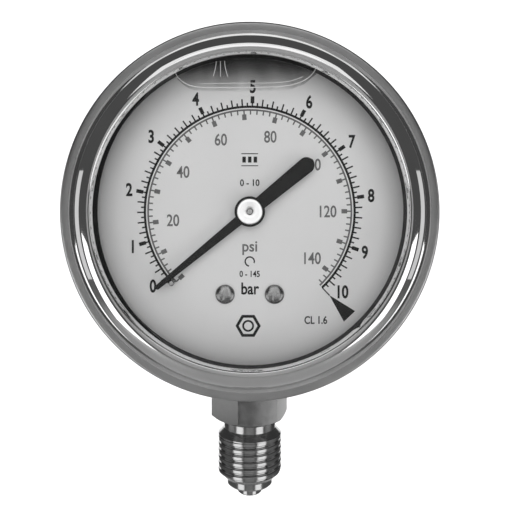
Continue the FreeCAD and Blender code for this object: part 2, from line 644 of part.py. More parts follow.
def pinion_arbor():
    """Spindle with its pinion cut in one piece; the pointer's hub is pressed on its front end."""
    angle = min(sector_tooth_angles(), key=lambda a: abs(a - SECTOR_AXIS_DEG - 180))
    gap_deg = SECTOR_AXIS_DEG - SECTOR_RATIO * (angle - SECTOR_AXIS_DEG - 180)
    step = 360.0 / PINION_TEETH
    body = rod(0, 0, PINION_R - TOOTH_DEDENDUM, PINION_Y0, PINION_Y1)
    for k in range(PINION_TEETH):
        body = body.fuse(tooth(PINION_R, gap_deg + (k + 0.5) * step, 0, 0, PINION_Y0, PINION_Y1))
    spindle = rod(0, 0, SPINDLE_R, SPINDLE_FRONT_Y, BACK_PLATE_Y + PLATE_T - 0.05)
    shoulder = rod(0, 0, ARBOR_SHOULDER_R, PINION_Y1, BACK_PLATE_Y - MOVE_GAP)
    front_shoulder = rod(0, 0, ARBOR_SHOULDER_R, FRONT_PLATE_Y + 0.05, PINION_Y0)
    return body.fuse(spindle).fuse(shoulder).fuse(front_shoulder).removeSplitter()


def hairspring_collet():
    return ring(0, 0, COLLET_R, ARBOR_SHOULDER_R, SPRING_Y0 - 0.03, SPRING_Y1 + 0.1)


def spring_point(turns, offset):
    radius = SPRING_R_IN + (SPRING_R_OUT - SPRING_R_IN) * turns / SPRING_TURNS + offset
    return at(*polar(radius, -360 * turns), SPRING_Y0)


def hairspring():
    """Flat spiral strip from the collet out to the stud."""
    steps = int(SPRING_TURNS * 16)
    edges = []
    for offset in (-SPRING_STRIP_T / 2, SPRING_STRIP_T / 2):
        curve = Part.BSplineCurve()
        curve.interpolate([spring_point(SPRING_TURNS * k / steps, offset) for k in range(steps + 1)])
        edges.append(curve.toShape())
    for turns in (0, SPRING_TURNS):
        ends = [spring_point(turns, offset) for offset in (-SPRING_STRIP_T / 2, SPRING_STRIP_T / 2)]
        edges.append(Part.LineSegment(*ends).toShape())
    wire = Part.Wire(Part.__sortEdges__(edges))
    return Part.Face(wire).extrude(V(0, SPRING_Y1 - SPRING_Y0, 0))


def hairspring_stud():
    x, z = polar(SPRING_R_OUT, -360 * SPRING_TURNS)
    return rod(x, z, SPRING_STUD_R, FRONT_PLATE_Y, SPRING_Y1 + SPRING_STUD_END).cut(hairspring())


def plate_outline(y0, y1):
    """Movement plate: filled between the pillars and the sector's arbor."""
    corners = [PILLARS[0], PILLARS[1], ARBOR, PILLARS[2]]
    body = plate(corners, y0, y1)
    for a, b in zip(corners, corners[1:] + corners[:1]):
        body = body.fuse(bar(a, b, 2 * PLATE_EDGE, y0, y1))
    return body


def plate_bores(body, y0, y1):
    for x, z in (ARBOR, (0, 0)):
        radius = (SPINDLE_R if x == 0 else ARBOR_R) + ARBOR_PLAY
        body = body.cut(rod(x, z, radius, y0 - 1, y1 + 1))
    return body


def movement_back_plate():
    y0, y1 = BACK_PLATE_Y, BACK_PLATE_Y + PLATE_T
    foot_x = DIAL_POST_X + FOOT_MARGIN
    body = plate_outline(y0, y1)
    body = body.fuse(box(-foot_x, foot_x, y0, y1, DIAL_POST_Z - FOOT_MARGIN, PILLARS[1][1] + PLATE_EDGE))
    body = plate_bores(body, y0, y1)
    for x in (-DIAL_POST_X, DIAL_POST_X):
        body = body.cut(rod(x, DIAL_POST_Z, STUD_R, y0 - 1, y1 + 1))
    for x, z in PILLARS:
        body = body.cut(rod(x, z, MOVEMENT_SCREW_R, y0 - 1, y1 + 1))
    return body.removeSplitter()


def movement_front_plate():
    y0, y1 = FRONT_PLATE_Y - PLATE_T, FRONT_PLATE_Y
    body = plate_bores(plate_outline(y0, y1), y0, y1)
    for x, z in PILLARS:
        body = body.cut(rod(x, z, MOVEMENT_SCREW_R, y0 - 1, y1 + 1))
    return body.removeSplitter()


def movement_pillars():
    """Turned pillars with a tenon riveted in the back plate and a tapped front end."""
    pillars = []
    for x, z in PILLARS:
        pillar = rod(x, z, PILLAR_R, FRONT_PLATE_Y, BACK_PLATE_Y)
        pillar = pillar.fuse(rod(x, z, MOVEMENT_SCREW_R, BACK_PLATE_Y, BACK_PLATE_Y + PLATE_T))
        pillars.append(pillar.cut(rod(x, z, MOVEMENT_SCREW_R, FRONT_PLATE_Y - 1, FRONT_PLATE_Y + 2)))
    return group(pillars)


def slotted_head(x, z, radius, y_front, y_back, slot_depth):
    head = rod(x, z, radius, y_front, y_back)
    slot = box(x - radius, x + radius, y_front - 1, y_front + slot_depth, z - CROSS_W / 2, z + CROSS_W / 2)
    return head.cut(slot)


def movement_screws():
    screws = []
    for x, z in PILLARS:
        seat = FRONT_PLATE_Y - PLATE_T
        head_front = seat - MOVEMENT_SCREW_HEAD_H
        head = slotted_head(x, z, MOVEMENT_SCREW_HEAD_R, head_front, seat, MOVEMENT_SLOT_W)
        shank = rod(x, z, MOVEMENT_SCREW_R, seat, FRONT_PLATE_Y + MOVEMENT_SCREW_GRIP)
        screws.append(head.fuse(shank))
    return group(screws)


def dial_posts():
    """Posts that clamp the movement's foot to the socket block and carry the dial."""
    posts = []
    for x in (-DIAL_POST_X, DIAL_POST_X):
        post = rod(x, DIAL_POST_Z, DIAL_POST_R, DIAL_BACK_Y, BACK_PLATE_Y)
        post = post.fuse(rod(x, DIAL_POST_Z, STUD_R, BACK_PLATE_Y, BLOCK_FRONT_Y + STUD_LENGTH - 0.3))
        posts.append(post.cut(rod(x, DIAL_POST_Z, DIAL_SCREW_R, DIAL_BACK_Y - 1, DIAL_BACK_Y + 3)))
    return group(posts)


def dial():
    disc = rod(0, 0, DIAL_R, DIAL_FACE_Y, DIAL_BACK_Y)
    disc = disc.cut(rod(0, 0, DIAL_HOLE_R, DIAL_FACE_Y - 1, DIAL_BACK_Y + 1))
    for x in (-DIAL_POST_X, DIAL_POST_X):
        disc = disc.cut(rod(x, DIAL_POST_Z, DIAL_SCREW_R + SLIP, DIAL_FACE_Y - 1, DIAL_BACK_Y + 1))
    return disc.cut(rod(*stop_pin_place(), STOP_PIN_R, DIAL_FACE_Y - 1, DIAL_BACK_Y + 1))


def dial_screws():
    """Pan heads with a cross recess."""
    screws = []
    for x in (-DIAL_POST_X, DIAL_POST_X):
        front = DIAL_FACE_Y - DIAL_SCREW_HEAD_H
        head = rod(x, DIAL_POST_Z, DIAL_SCREW_HEAD_R, front, DIAL_FACE_Y)
        head = head.makeFillet(DIAL_SCREW_HEAD_H * PAN_ROUND, edges_at(head, "Y", front))
        reach = DIAL_SCREW_HEAD_R * CROSS_REACH
        half = CROSS_W / 2
        deep = front + DIAL_SCREW_HEAD_H * CROSS_DEPTH
        head = head.cut(box(x - reach, x + reach, front - 1, deep, DIAL_POST_Z - half, DIAL_POST_Z + half))
        head = head.cut(box(x - half, x + half, front - 1, deep, DIAL_POST_Z - reach, DIAL_POST_Z + reach))
        shank = rod(x, DIAL_POST_Z, DIAL_SCREW_R, DIAL_FACE_Y, DIAL_BACK_Y + DIAL_SCREW_GRIP)
        screws.append(head.fuse(shank))
    return group(screws)


def pointer_half_width(radius):
    """Half the blade's width at a distance from the pivot."""
    share = radius / (POINTER_TIP_LENGTH - POINTER_TIP_W / 2)
    return (POINTER_ROOT_W + (POINTER_TIP_W - POINTER_ROOT_W) * share) / 2


def stop_pin_place():
    """The pointer's blade lies against the stop pin at rest."""
    reach = pointer_half_width(STOP_PIN_PATH_R) + STOP_PIN_R + MOVE_GAP / 2
    clockwise = POINTER_STOP_DEG - math.degrees(reach / STOP_PIN_PATH_R)
    return polar(STOP_PIN_PATH_R, 90 - clockwise)


def stop_pin():
    pin = rod(*stop_pin_place(), STOP_PIN_R, STOP_PIN_FRONT_Y, DIAL_BACK_Y)
    return pin.makeFillet(STOP_PIN_R * STOP_PIN_ROUND, edges_at(pin, "Y", STOP_PIN_FRONT_Y))


def pointer():
    """Flat pointer: a tapering blade, a round boss and a counterweight tail."""
    y0, y1 = POINTER_Y, POINTER_Y + POINTER_T
    tip_z = POINTER_TIP_LENGTH - POINTER_TIP_W / 2
    tail_z = POINTER_TAIL_W / 2 - POINTER_TAIL_LENGTH
    blade = plate([
        (-POINTER_ROOT_W / 2, 0),
        (-POINTER_TIP_W / 2, tip_z),
        (POINTER_TIP_W / 2, tip_z),
        (POINTER_ROOT_W / 2, 0),
    ], y0, y1)
    tail = plate([
        (-POINTER_TAIL_ROOT_W / 2, 0),
        (-POINTER_TAIL_W / 2, tail_z),
        (POINTER_TAIL_W / 2, tail_z),
        (POINTER_TAIL_ROOT_W / 2, 0),
    ], y0, y1)
    body = blade.fuse(tail).fuse(rod(0, 0, POINTER_HUB_R, y0, y1))
    body = body.fuse(rod(0, tip_z, POINTER_TIP_W / 2, y0, y1))
    body = body.fuse(rod(0, tail_z, POINTER_TAIL_W / 2, y0, y1))
    body = body.cut(rod(0, 0, HUB_R / 2, y0 - 1, y1 + 1))
    return turn(body.removeSplitter(), POINTER_STOP_DEG)


def pointer_hub():
    """Brushed disc in front of the pointer and a barrel that is pressed on the spindle."""
    hub = rod(0, 0, HUB_R, HUB_FRONT_Y, POINTER_Y)
    hub = hub.makeFillet(HUB_ROUND, edges_at(hub, "Y", HUB_FRONT_Y))
    hub = hub.fuse(rod(0, 0, HUB_R / 2, POINTER_Y, POINTER_Y + POINTER_T + HUB_BARREL))
    return hub.cut(rod(0, 0, SPINDLE_R, HUB_FRONT_Y - 1, DIAL_FACE_Y))


def case_screws():
    screws = []
    for depth in CASE_SCREW_DEPTHS:
        back = CASE_BACK_Y + CASE_SCREW_HEAD_H
        head = rod(0, -depth, CASE_SCREW_HEAD_R, CASE_BACK_Y, back)
        head = head.makeFillet(CASE_SCREW_ROUND, edges_at(head, "Y", back))
        slot = box(
            -CASE_SCREW_HEAD_R, CASE_SCREW_HEAD_R, back - CASE_SLOT_DEPTH, back + 1,
            -depth - CASE_SLOT_W / 2, -depth + CASE_SLOT_W / 2,
        )
        shank_end = CASE_BACK_Y - CASE_SCREW_LENGTH + CASE_SCREW_SPACE
        shank = rod(0, -depth, CASE_SCREW_R, shank_end, CASE_BACK_Y)
        screws.append(head.cut(slot).fuse(shank))
    return group(screws)


def inlet_restrictor():
    """Screw with a fine bore in the pressure inlet, to damp pulses."""
    low = SPIGOT_END_Z - TIP_LENGTH + RESTRICTOR_RECESS
    high = low + RESTRICTOR_LENGTH
    return upright(INLET_R, low, high).cut(upright(RESTRICTOR_BORE_R, low - 1, high + 1))


PARTS = {
    "case_shell": case_shell,
    "bezel_ring": bezel_ring,
    "window": window_glass,
    "window_gasket": window_gasket,
    "fill_plug": fill_plug,
    "socket_stem": socket_stem,
    "stem_seal": stem_seal,
    "case_screws": case_screws,
    "inlet_restrictor": inlet_restrictor,
    "dial": dial,
    "dial_screws": dial_screws,
    "dial_posts": dial_posts,
    "stop_pin": stop_pin,
    "bourdon_tube": bourdon_tube,
    "tip_block": tip_block,
    "tip_pin": tip_pin,
    "link": link,
    "tail_pin": tail_pin,
    "sector_gear": sector_gear,
    "sector_arbor": sector_arbor,
    "pinion_arbor": pinion_arbor,
    "hairspring": hairspring,
    "hairspring_collet": hairspring_collet,
    "hairspring_stud": hairspring_stud,
    "movement_back_plate": movement_back_plate,
    "movement_front_plate": movement_front_plate,
    "movement_pillars": movement_pillars,
    "movement_screws": movement_screws,
    "pointer": pointer,
    "pointer_hub": pointer_hub,
}

os.makedirs("parts", exist_ok=True)
for name, make in PARTS.items():
    make().exportStep("parts/" + name + ".step")
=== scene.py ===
# %% [markdown]
# # A liquid-filled pressure gauge
# This lesson builds the looks of a round pressure gauge around its finished engineering model. The model
# gives the main sizes and places; this script adds the polished ring, the printed dial, the pointer, the
# threaded stem and all the finishes. Everything is modelled in millimetres and brought to metres at the
# end of each piece, because Blender's edit tools round off very small steps.

# %% Load the engineering model
import bpy
import json
import math
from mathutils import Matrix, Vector

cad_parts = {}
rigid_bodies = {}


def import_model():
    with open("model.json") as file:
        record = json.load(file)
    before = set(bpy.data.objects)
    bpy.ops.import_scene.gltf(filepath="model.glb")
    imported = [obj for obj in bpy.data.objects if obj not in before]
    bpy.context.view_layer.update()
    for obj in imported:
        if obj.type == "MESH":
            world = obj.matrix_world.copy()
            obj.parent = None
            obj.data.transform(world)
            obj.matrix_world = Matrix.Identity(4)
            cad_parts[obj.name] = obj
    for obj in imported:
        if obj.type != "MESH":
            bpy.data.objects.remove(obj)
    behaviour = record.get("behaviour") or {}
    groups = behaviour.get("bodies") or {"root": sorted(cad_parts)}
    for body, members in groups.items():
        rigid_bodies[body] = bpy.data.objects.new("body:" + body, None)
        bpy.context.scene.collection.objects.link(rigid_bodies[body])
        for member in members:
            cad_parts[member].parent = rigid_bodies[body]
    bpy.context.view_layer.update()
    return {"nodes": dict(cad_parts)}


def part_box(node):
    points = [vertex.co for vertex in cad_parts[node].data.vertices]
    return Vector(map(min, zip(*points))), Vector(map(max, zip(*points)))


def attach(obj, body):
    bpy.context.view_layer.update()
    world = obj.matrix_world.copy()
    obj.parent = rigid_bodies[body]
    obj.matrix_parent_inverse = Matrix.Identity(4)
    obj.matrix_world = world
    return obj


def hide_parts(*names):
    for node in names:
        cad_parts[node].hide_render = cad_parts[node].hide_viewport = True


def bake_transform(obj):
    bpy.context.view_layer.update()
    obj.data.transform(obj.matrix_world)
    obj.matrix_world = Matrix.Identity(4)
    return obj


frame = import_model()
MM = 0.001
print("nodes in the model:", len(frame["nodes"]))


# %% [markdown]
# The main places come from the model's own boxes, so a change in the engineering model moves those looks
# with it; the smaller sizes below are given as numbers. The dial's axis runs along Y at one height, and the
# stem's axis is Z.

# %% Read sizes from the model
def box_mm(node):
    """Lowest and highest corner of a node, in millimetres."""
    low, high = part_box(node)
    return Vector(low) / MM, Vector(high) / MM


def disc_r(node):
    low, high = box_mm(node)
    return (high.x - low.x) / 2


BEZEL_LOW, BEZEL_HIGH = box_mm("bezel_ring")
CASE_HIGH = box_mm("case_shell")[1]
WINDOW_LOW, WINDOW_HIGH = box_mm("window")
DIAL_LOW, DIAL_HIGH = box_mm("dial")
STEM_LOW, STEM_HIGH = box_mm("socket_stem")
POINTER_LOW, POINTER_HIGH = box_mm("pointer")
HUB_LOW, HUB_HIGH = box_mm("pointer_hub")
AXIS_Z = (BEZEL_LOW.z + BEZEL_HIGH.z) / 2
BEZEL_R = disc_r("bezel_ring")
DIAL_R = disc_r("dial")
print(f"dial axis at {AXIS_Z:.2f} mm, ring radius {BEZEL_R:.2f} mm, dial radius {DIAL_R:.2f} mm")


# %% [markdown]
# The gauge is looked at straight on, from a short distance, with the eye level with the middle of the
# dial. A near camera shows the stem from a little above, so its focal length and distance matter more
# than its height. The picture is shifted instead of tilting the camera, so that the ring stays a true
# circle.

# %% Camera
CAMERA_BACK = 127.3
FOCAL_MM = 42.8
SHIFT_X, SHIFT_Y = 0.0122, -0.0867
camera_data = bpy.data.cameras.new("camera")
camera = bpy.data.objects.new("camera", camera_data)
bpy.context.collection.objects.link(camera)
camera.location = (0, -CAMERA_BACK * MM, AXIS_Z * MM)
camera.rotation_euler = (math.radians(90), 0, 0)
camera_data.lens = FOCAL_MM
camera_data.sensor_width = 36.0
camera_data.shift_x = SHIFT_X
camera_data.shift_y = SHIFT_Y
camera_data.clip_start = 0.005
camera_data.clip_end = 5.0
bpy.context.scene.camera = camera
print("camera", round(CAMERA_BACK), "mm in front of the stem's axis")

# %% [markdown]
# Most of the gauge is a body of revolution: ring, hub, plug, stem. Such a piece could be cut from a stack
# of cylinders, but a lathe is quicker and cleaner. One vertex is drawn out along the section's outline,
# and the outline is then spun round its axis. Points closer than WELD are merged, so the seam is closed.


# %% The lathe
WELD = 0.0005
SHARP = math.radians(35)


def clear_selection():
    bpy.ops.object.select_all(action="DESELECT")


def activate(piece):
    clear_selection()
    piece.select_set(True)
    bpy.context.view_layer.objects.active = piece


def edit(piece):
    activate(piece)
    bpy.ops.object.mode_set(mode="EDIT")
    bpy.ops.mesh.select_mode(type="VERT")
    bpy.ops.mesh.select_all(action="SELECT")


def leave_edit():
    bpy.ops.object.mode_set(mode="OBJECT")


def named(name):
    piece = bpy.context.object
    piece.name = name
    piece.data.name = name
    return piece


def draw_outline(name, points, closed=True):
    """A chain of edges through 3D points: a plane is collapsed to one vertex, which is drawn out."""
    clear_selection()
    bpy.ops.mesh.primitive_plane_add(size=1)
    piece = named(name)
    edit(piece)
    bpy.ops.mesh.merge(type="CENTER")
    bpy.ops.transform.translate(value=points[0])
    stops = points[1:] + points[:1] if closed else points[1:]
    for here, there in zip(points, stops):
        step = Vector(there) - Vector(here)
        bpy.ops.mesh.extrude_region_move(TRANSFORM_OT_translate={"value": step})
    bpy.ops.mesh.select_all(action="SELECT")
    bpy.ops.mesh.remove_doubles(threshold=WELD)
    leave_edit()
    return piece


def lathe(name, outline, steps, along="Y"):
    """Spin a closed outline of (radius, height) points about the dial's axis (Y) or the stem's (Z)."""
    if along == "Y":
        points = [(r, y, AXIS_Z) for r, y in outline]
        centre, axis = (0, 0, AXIS_Z), (0, 1, 0)
    else:
        points = [(r, 0, z) for r, z in outline]
        centre, axis = (0, 0, 0), (0, 0, 1)
    piece = draw_outline(name, points)
    edit(piece)
    bpy.ops.mesh.spin(steps=steps, angle=2 * math.pi, center=centre, axis=axis)
    bpy.ops.mesh.select_all(action="SELECT")
    bpy.ops.mesh.remove_doubles(threshold=WELD)
    bpy.ops.mesh.normals_make_consistent(inside=False)
    leave_edit()
    return piece


def arc(cx, cy, radius, start, end, count):
    """Points on a round stretch of an outline, between two angles in degrees."""
    angles = [math.radians(start + (end - start) * k / count) for k in range(count + 1)]
    return [(cx + radius * math.cos(a), cy + radius * math.sin(a)) for a in angles]


def smooth(piece, degrees=30):
    activate(piece)
    bpy.ops.object.shade_smooth_by_angle(angle=math.radians(degrees))


def settle(piece, degrees=30):
    """Bring a piece from millimetres to metres, put its object at the origin and shade it."""
    activate(piece)
    piece.location = piece.location * MM
    piece.scale = piece.scale * MM
    bpy.ops.object.transform_apply(location=True, rotation=True, scale=True)
    smooth(piece, degrees)
    print(piece.name, len(piece.data.polygons), "faces")
    return piece


def apply_modifier(piece, kind, **settings):
    activate(piece)
    modifier = piece.modifiers.new(kind, kind)
    for key, value in settings.items():
        setattr(modifier, key, value)
    bpy.ops.object.modifier_apply(modifier=modifier.name)


def cut(piece, cutter, operation="DIFFERENCE"):
    """Use one mesh as a tool on another, then throw the tool away."""
    apply_modifier(piece, "BOOLEAN", object=cutter, operation=operation, solver="EXACT")
    bpy.data.objects.remove(cutter)
    return piece


# %% [markdown]
# A finish is a small network of shader nodes. Wiring nodes by hand is long to read, so two small classes
# carry the work: a Signal is one socket that can be added and multiplied like a number, and a Finish is
# one material with a single method that adds any other node.

# %% Shader maths
class Signal:
    """One output socket, with Python's operators turned into Math nodes."""

    def __init__(self, finish, socket):
        self.finish = finish
        self.socket = socket

    def maths(self, operation, first, second):
        return self.finish.node("ShaderNodeMath", {"operation": operation}, {0: first, 1: second})

    def __add__(self, other):
        return self.maths("ADD", self, other)

    def __sub__(self, other):
        return self.maths("SUBTRACT", self, other)

    def __mul__(self, other):
        return self.maths("MULTIPLY", self, other)

    def __truediv__(self, other):
        return self.maths("DIVIDE", self, other)

    def power(self, other):
        return self.maths("POWER", self, other)


class Finish:
    """A material whose Principled shader is ready to be wired."""

    def __init__(self, name):
        self.material = bpy.data.materials.new(name)
        self.material.use_nodes = True
        self.nodes = self.material.node_tree.nodes
        self.links = self.material.node_tree.links
        self.shader = self.nodes["Principled BSDF"]

    def feed(self, socket, value):
        if isinstance(value, Signal):
            self.links.new(value.socket, socket)
        else:
            socket.default_value = value

    def node(self, kind, settings=None, inputs=None, output=0):
        """Add a node: its settings first, then values or links on its sockets."""
        made = self.nodes.new(kind)
        for key, value in (settings or {}).items():
            if key == "stops":
                self.set_stops(made.color_ramp, value)
            else:
                setattr(made, key, value)
        for key, value in (inputs or {}).items():
            self.feed(made.inputs[key], value)
        return Signal(self, made.outputs[output])

    def set_stops(self, ramp, stops):
        while len(ramp.elements) < len(stops):
            ramp.elements.new(0.5)
        for element, (place, shade) in zip(ramp.elements, stops):
            element.position = place
            element.color = (*shade, 1) if len(shade) == 3 else shade

    def put(self, **sockets):
        """Set the shader's own sockets: Base_Color=..., Roughness=..."""
        for name, value in sockets.items():
            self.feed(self.shader.inputs[name.replace("_", " ")], value)

    def coordinates(self, centre=(0, 0, 0), scale=(1, 1, 1)):
        """Object coordinates, moved so that `centre` (in metres) is zero, and stretched."""
        place = self.node("ShaderNodeTexCoord", output=3)
        return self.node(
            "ShaderNodeMapping",
            {"vector_type": "TEXTURE"},
            {0: place, "Location": centre, "Scale": tuple(1 / s for s in scale)},
        )

    def noise(self, where, size_mm, detail=3.0):
        return self.node(
            "ShaderNodeTexNoise", None, {"Vector": where, "Scale": 1 / (size_mm * MM), "Detail": detail}
        )

    def rings(self, radius, width_mm, detail):
        """Noise along a radius alone: the fine rings that a lathe leaves."""
        settings = {"noise_dimensions": "1D"}
        return self.node(
            "ShaderNodeTexNoise", settings, {"W": radius, "Scale": 1 / (width_mm * MM), "Detail": detail}
        )

    def ramp(self, value, *stops):
        return self.node("ShaderNodeValToRGB", {"stops": stops}, {0: value})

    def bump(self, height, depth_mm):
        self.put(Normal=self.node("ShaderNodeBump", None, {"Height": height, "Distance": depth_mm * MM}))

    def radius(self, centre, across=("X", "Z")):
        """Distance in metres from an axis through `centre`."""
        where = self.coordinates(centre)
        parts = self.nodes.new("ShaderNodeSeparateXYZ")
        self.links.new(where.socket, parts.inputs[0])
        a = Signal(self, parts.outputs[across[0]])
        b = Signal(self, parts.outputs[across[1]])
        return (a * a + b * b).power(0.5)


def grey(level):
    return (level, level, level, 1)


def tone(level):
    return (level, level, level)


# %% [markdown]
# Metal is mostly its reflections, so its colour stays nearly even and its roughness does the work. The
# ring is polished: low roughness, with faint clouding and fine scuffs. The same helper makes the flat
# satin band, the case, the stem and the small screws, some of them with fine turning grooves, and a
# near-black steel for the screws' recesses, which is painted shade.

# %% Metal finishes
DIAL_CENTRE = (0, 0, AXIS_Z * MM)
TURNED_ABOUT = {"dial": (DIAL_CENTRE, ("X", "Z")), "stem": ((0, 0, 0), ("X", "Y"))}


def metal(name, level, gloss, spread, cloud_mm, groove_mm=0.0, groove_depth=0.0, about="dial", warm=0.0):
    """Steel or brass: cloudy roughness, slight tone change and fine turning grooves."""
    f = Finish(name)
    where = f.coordinates()
    cloud = f.noise(where, cloud_mm, 4.0)
    scuff = f.noise(where, cloud_mm / 12, 2.0)
    low = (level * (1 + warm), level, level * (1 - 2 * warm))
    high = tuple(min(1.0, c * 1.12) for c in low)
    f.put(Base_Color=f.ramp(cloud, (0.3, low), (0.7, high)), Metallic=1.0)
    f.put(Roughness=(cloud - 0.5) * spread + (scuff - 0.5) * (spread * 0.6) + gloss)
    if groove_mm:
        centre, across = TURNED_ABOUT[about]
        radius = f.radius(centre, across)
        f.bump(f.rings(radius, groove_mm, 2.0), groove_depth)
    return f.material


ring_polish = metal("ring_polish", 0.80, 0.05, 0.05, cloud_mm=9.0)
ring_satin = metal("ring_satin", 0.50, 0.32, 0.08, cloud_mm=5.0, groove_mm=0.08, groove_depth=0.004)
case_satin = metal("case_satin", 0.36, 0.34, 0.10, cloud_mm=8.0, groove_mm=0.15, groove_depth=0.004)
stem_turned = metal(
    "stem_turned", 0.40, 0.17, 0.10, cloud_mm=2.0, groove_mm=0.25, groove_depth=0.01, about="stem"
)
hexagon_bar = metal("hexagon_bar", 0.30, 0.17, 0.12, cloud_mm=1.6)
screw_bright = metal("screw_bright", 0.20, 0.22, 0.12, cloud_mm=1.0)
# The recess finish is painted shade: a near-black steel for the screws' driver recesses, where shade falls.
screw_recess_painted_shade = metal("screw_recess_painted_shade", 0.05, 0.45, 0.15, cloud_mm=0.5)
tube_steel = metal("tube_steel", 0.55, 0.30, 0.10, cloud_mm=3.0, warm=0.02)
brass = metal("brass", 0.62, 0.28, 0.12, cloud_mm=3.0, warm=0.18)
spring_bronze = metal("spring_bronze", 0.50, 0.25, 0.08, cloud_mm=1.5, warm=0.22)
print("metals ready")

# %% [markdown]
# The hub disc has fine rings from its last cut on the lathe. Noise that varies along the radius only
# gives them: it feeds the colour, the roughness and a slight bump.


# %% Hub finish
def hub_finish():
    f = Finish("hub_turned")
    radius = f.radius(DIAL_CENTRE)
    rings = f.rings(radius, 0.10, 1.0)
    f.put(Base_Color=f.ramp(rings, (0.35, tone(0.62)), (0.65, tone(0.76))), Metallic=1.0)
    f.put(Roughness=rings * 0.12 + 0.26)
    f.bump(rings, 0.02)
    return f.material


hub_turned = hub_finish()


# %% [markdown]
# Rubber, paint and ink are not metal: their colour does the work. The dial is a matt light grey with the
# faintest unevenness and a few tiny specks, as print under oil has, and with painted shade that darkens it
# towards the rim, where the ring shades it. The ink is a separate thin layer, so its edges stay sharp at
# any distance, which a painted texture would not.

# %% Paint, ink and rubber finishes
SOFT_SHINE = 0.15
DIAL_SHINE = 0.2


def soft_finish(name, low, high, gloss, cloud_mm, grain_mm, grain_depth):
    f = Finish(name)
    where = f.coordinates()
    cloud = f.noise(where, cloud_mm, 4.0)
    grain = f.noise(where, grain_mm, 2.0)
    f.put(Base_Color=f.ramp(cloud, (0.3, tone(low)), (0.7, tone(high))), Specular_IOR_Level=SOFT_SHINE)
    f.put(Roughness=(grain - 0.5) * 0.12 + gloss)
    f.bump(grain, grain_depth)
    return f.material


def dial_finish():
    f = Finish("dial_paint")
    where = f.coordinates(DIAL_CENTRE)
    cloud = f.noise(where, 14.0, 2.0)
    grain = f.noise(where, 0.25, 2.0)
    radius = f.radius(DIAL_CENTRE)
    speck = f.node("ShaderNodeTexVoronoi", {"feature": "F1"}, {"Vector": where, "Scale": 1 / (2.6 * MM)})
    dots = f.ramp(speck, (0.0, tone(1.0)), (0.035, tone(0.0)))
    paint = f.ramp(cloud, (0.3, tone(0.82)), (0.7, tone(0.85)))
    # Painted shade: the dial's colour darkens towards the rim, where the ring shades it.
    shade = f.ramp(radius / (DIAL_R * MM), (0.84, tone(1.0)), (0.99, tone(0.86)))
    multiply = {"data_type": "RGBA", "blend_type": "MULTIPLY"}
    shaded = f.node("ShaderNodeMix", multiply, {0: 1.0, 6: paint, 7: shade}, 2)
    specked = f.node("ShaderNodeMix", {"data_type": "RGBA"}, {0: dots * 0.25, 6: shaded, 7: grey(0.2)}, 2)
    f.put(Specular_IOR_Level=DIAL_SHINE, Base_Color=specked, Roughness=(grain - 0.5) * 0.1 + 0.55)
    return f.material


black_rubber = soft_finish("black_rubber", 0.006, 0.014, 0.45, 4.0, 0.3, 0.01)
black_ink = soft_finish("black_ink", 0.006, 0.012, 0.55, 1.5, 0.1, 0.002)
grey_ink = soft_finish("grey_ink", 0.14, 0.17, 0.55, 1.5, 0.1, 0.002)
pointer_black = soft_finish("pointer_black", 0.004, 0.010, 0.50, 1.2, 0.12, 0.004)
dial_paint = dial_finish()
print("paint, ink and rubber ready")


# %% [markdown]
# The window is clear. Real refraction through a thick window makes a render slow and grainy and changes
# little here, so the window is a mirror that is almost fully see-through. It mirrors more where it is
# seen at a slant, as a real sheet does: the Facing output of Layer Weight says how much.

# %% Window finish
def window_finish():
    f = Finish("window_clear")
    facing = f.node("ShaderNodeLayerWeight", None, {"Blend": 0.5}, "Facing")
    smear = f.noise(f.coordinates(), 5.0)
    mirror = facing.power(5.0) * 0.7 + 0.02
    f.put(Base_Color=grey(0.95), Metallic=1.0, Roughness=smear * 0.02, Alpha=mirror)
    return f.material


window_clear = window_finish()


def dress(piece, *materials):
    """Give a piece its finishes; faces use the first unless they say otherwise."""
    piece.data.materials.clear()
    for material in materials:
        piece.data.materials.append(material)
    return piece


# %% [markdown]
# The ring that holds the window is one piece of steel sheet, rolled over the case's flange. Its section
# has a flat satin band outside, a hollow wall, a round polished bead and a thin lip against the window.
# It is spun on the lathe helper; the number of steps is high because a polished ring shows every flat.

# %% Polished ring
RING_WALL = 0.6
BAND_INNER_R = BEZEL_R - 1.55
BAND_Y = -17.8
GROOVE_R, GROOVE_Y = BEZEL_R - 2.4, -17.25
FLANGE_Y = -16.85
WALL_R = BEZEL_R - 2.85
CROWN_Y = BEZEL_LOW.y
SLOPE_R = 3.2
CROWN_R = 28.25
LIP_R = BEZEL_R - 6.7
LIP_ROUND = 0.5
LIP_Y = WINDOW_LOW.y
FLANGE_R = BEZEL_R - RING_WALL
HEM_R = BEZEL_R - 2.1
HEM_Y = BEZEL_HIGH.y
CORNER = 0.5


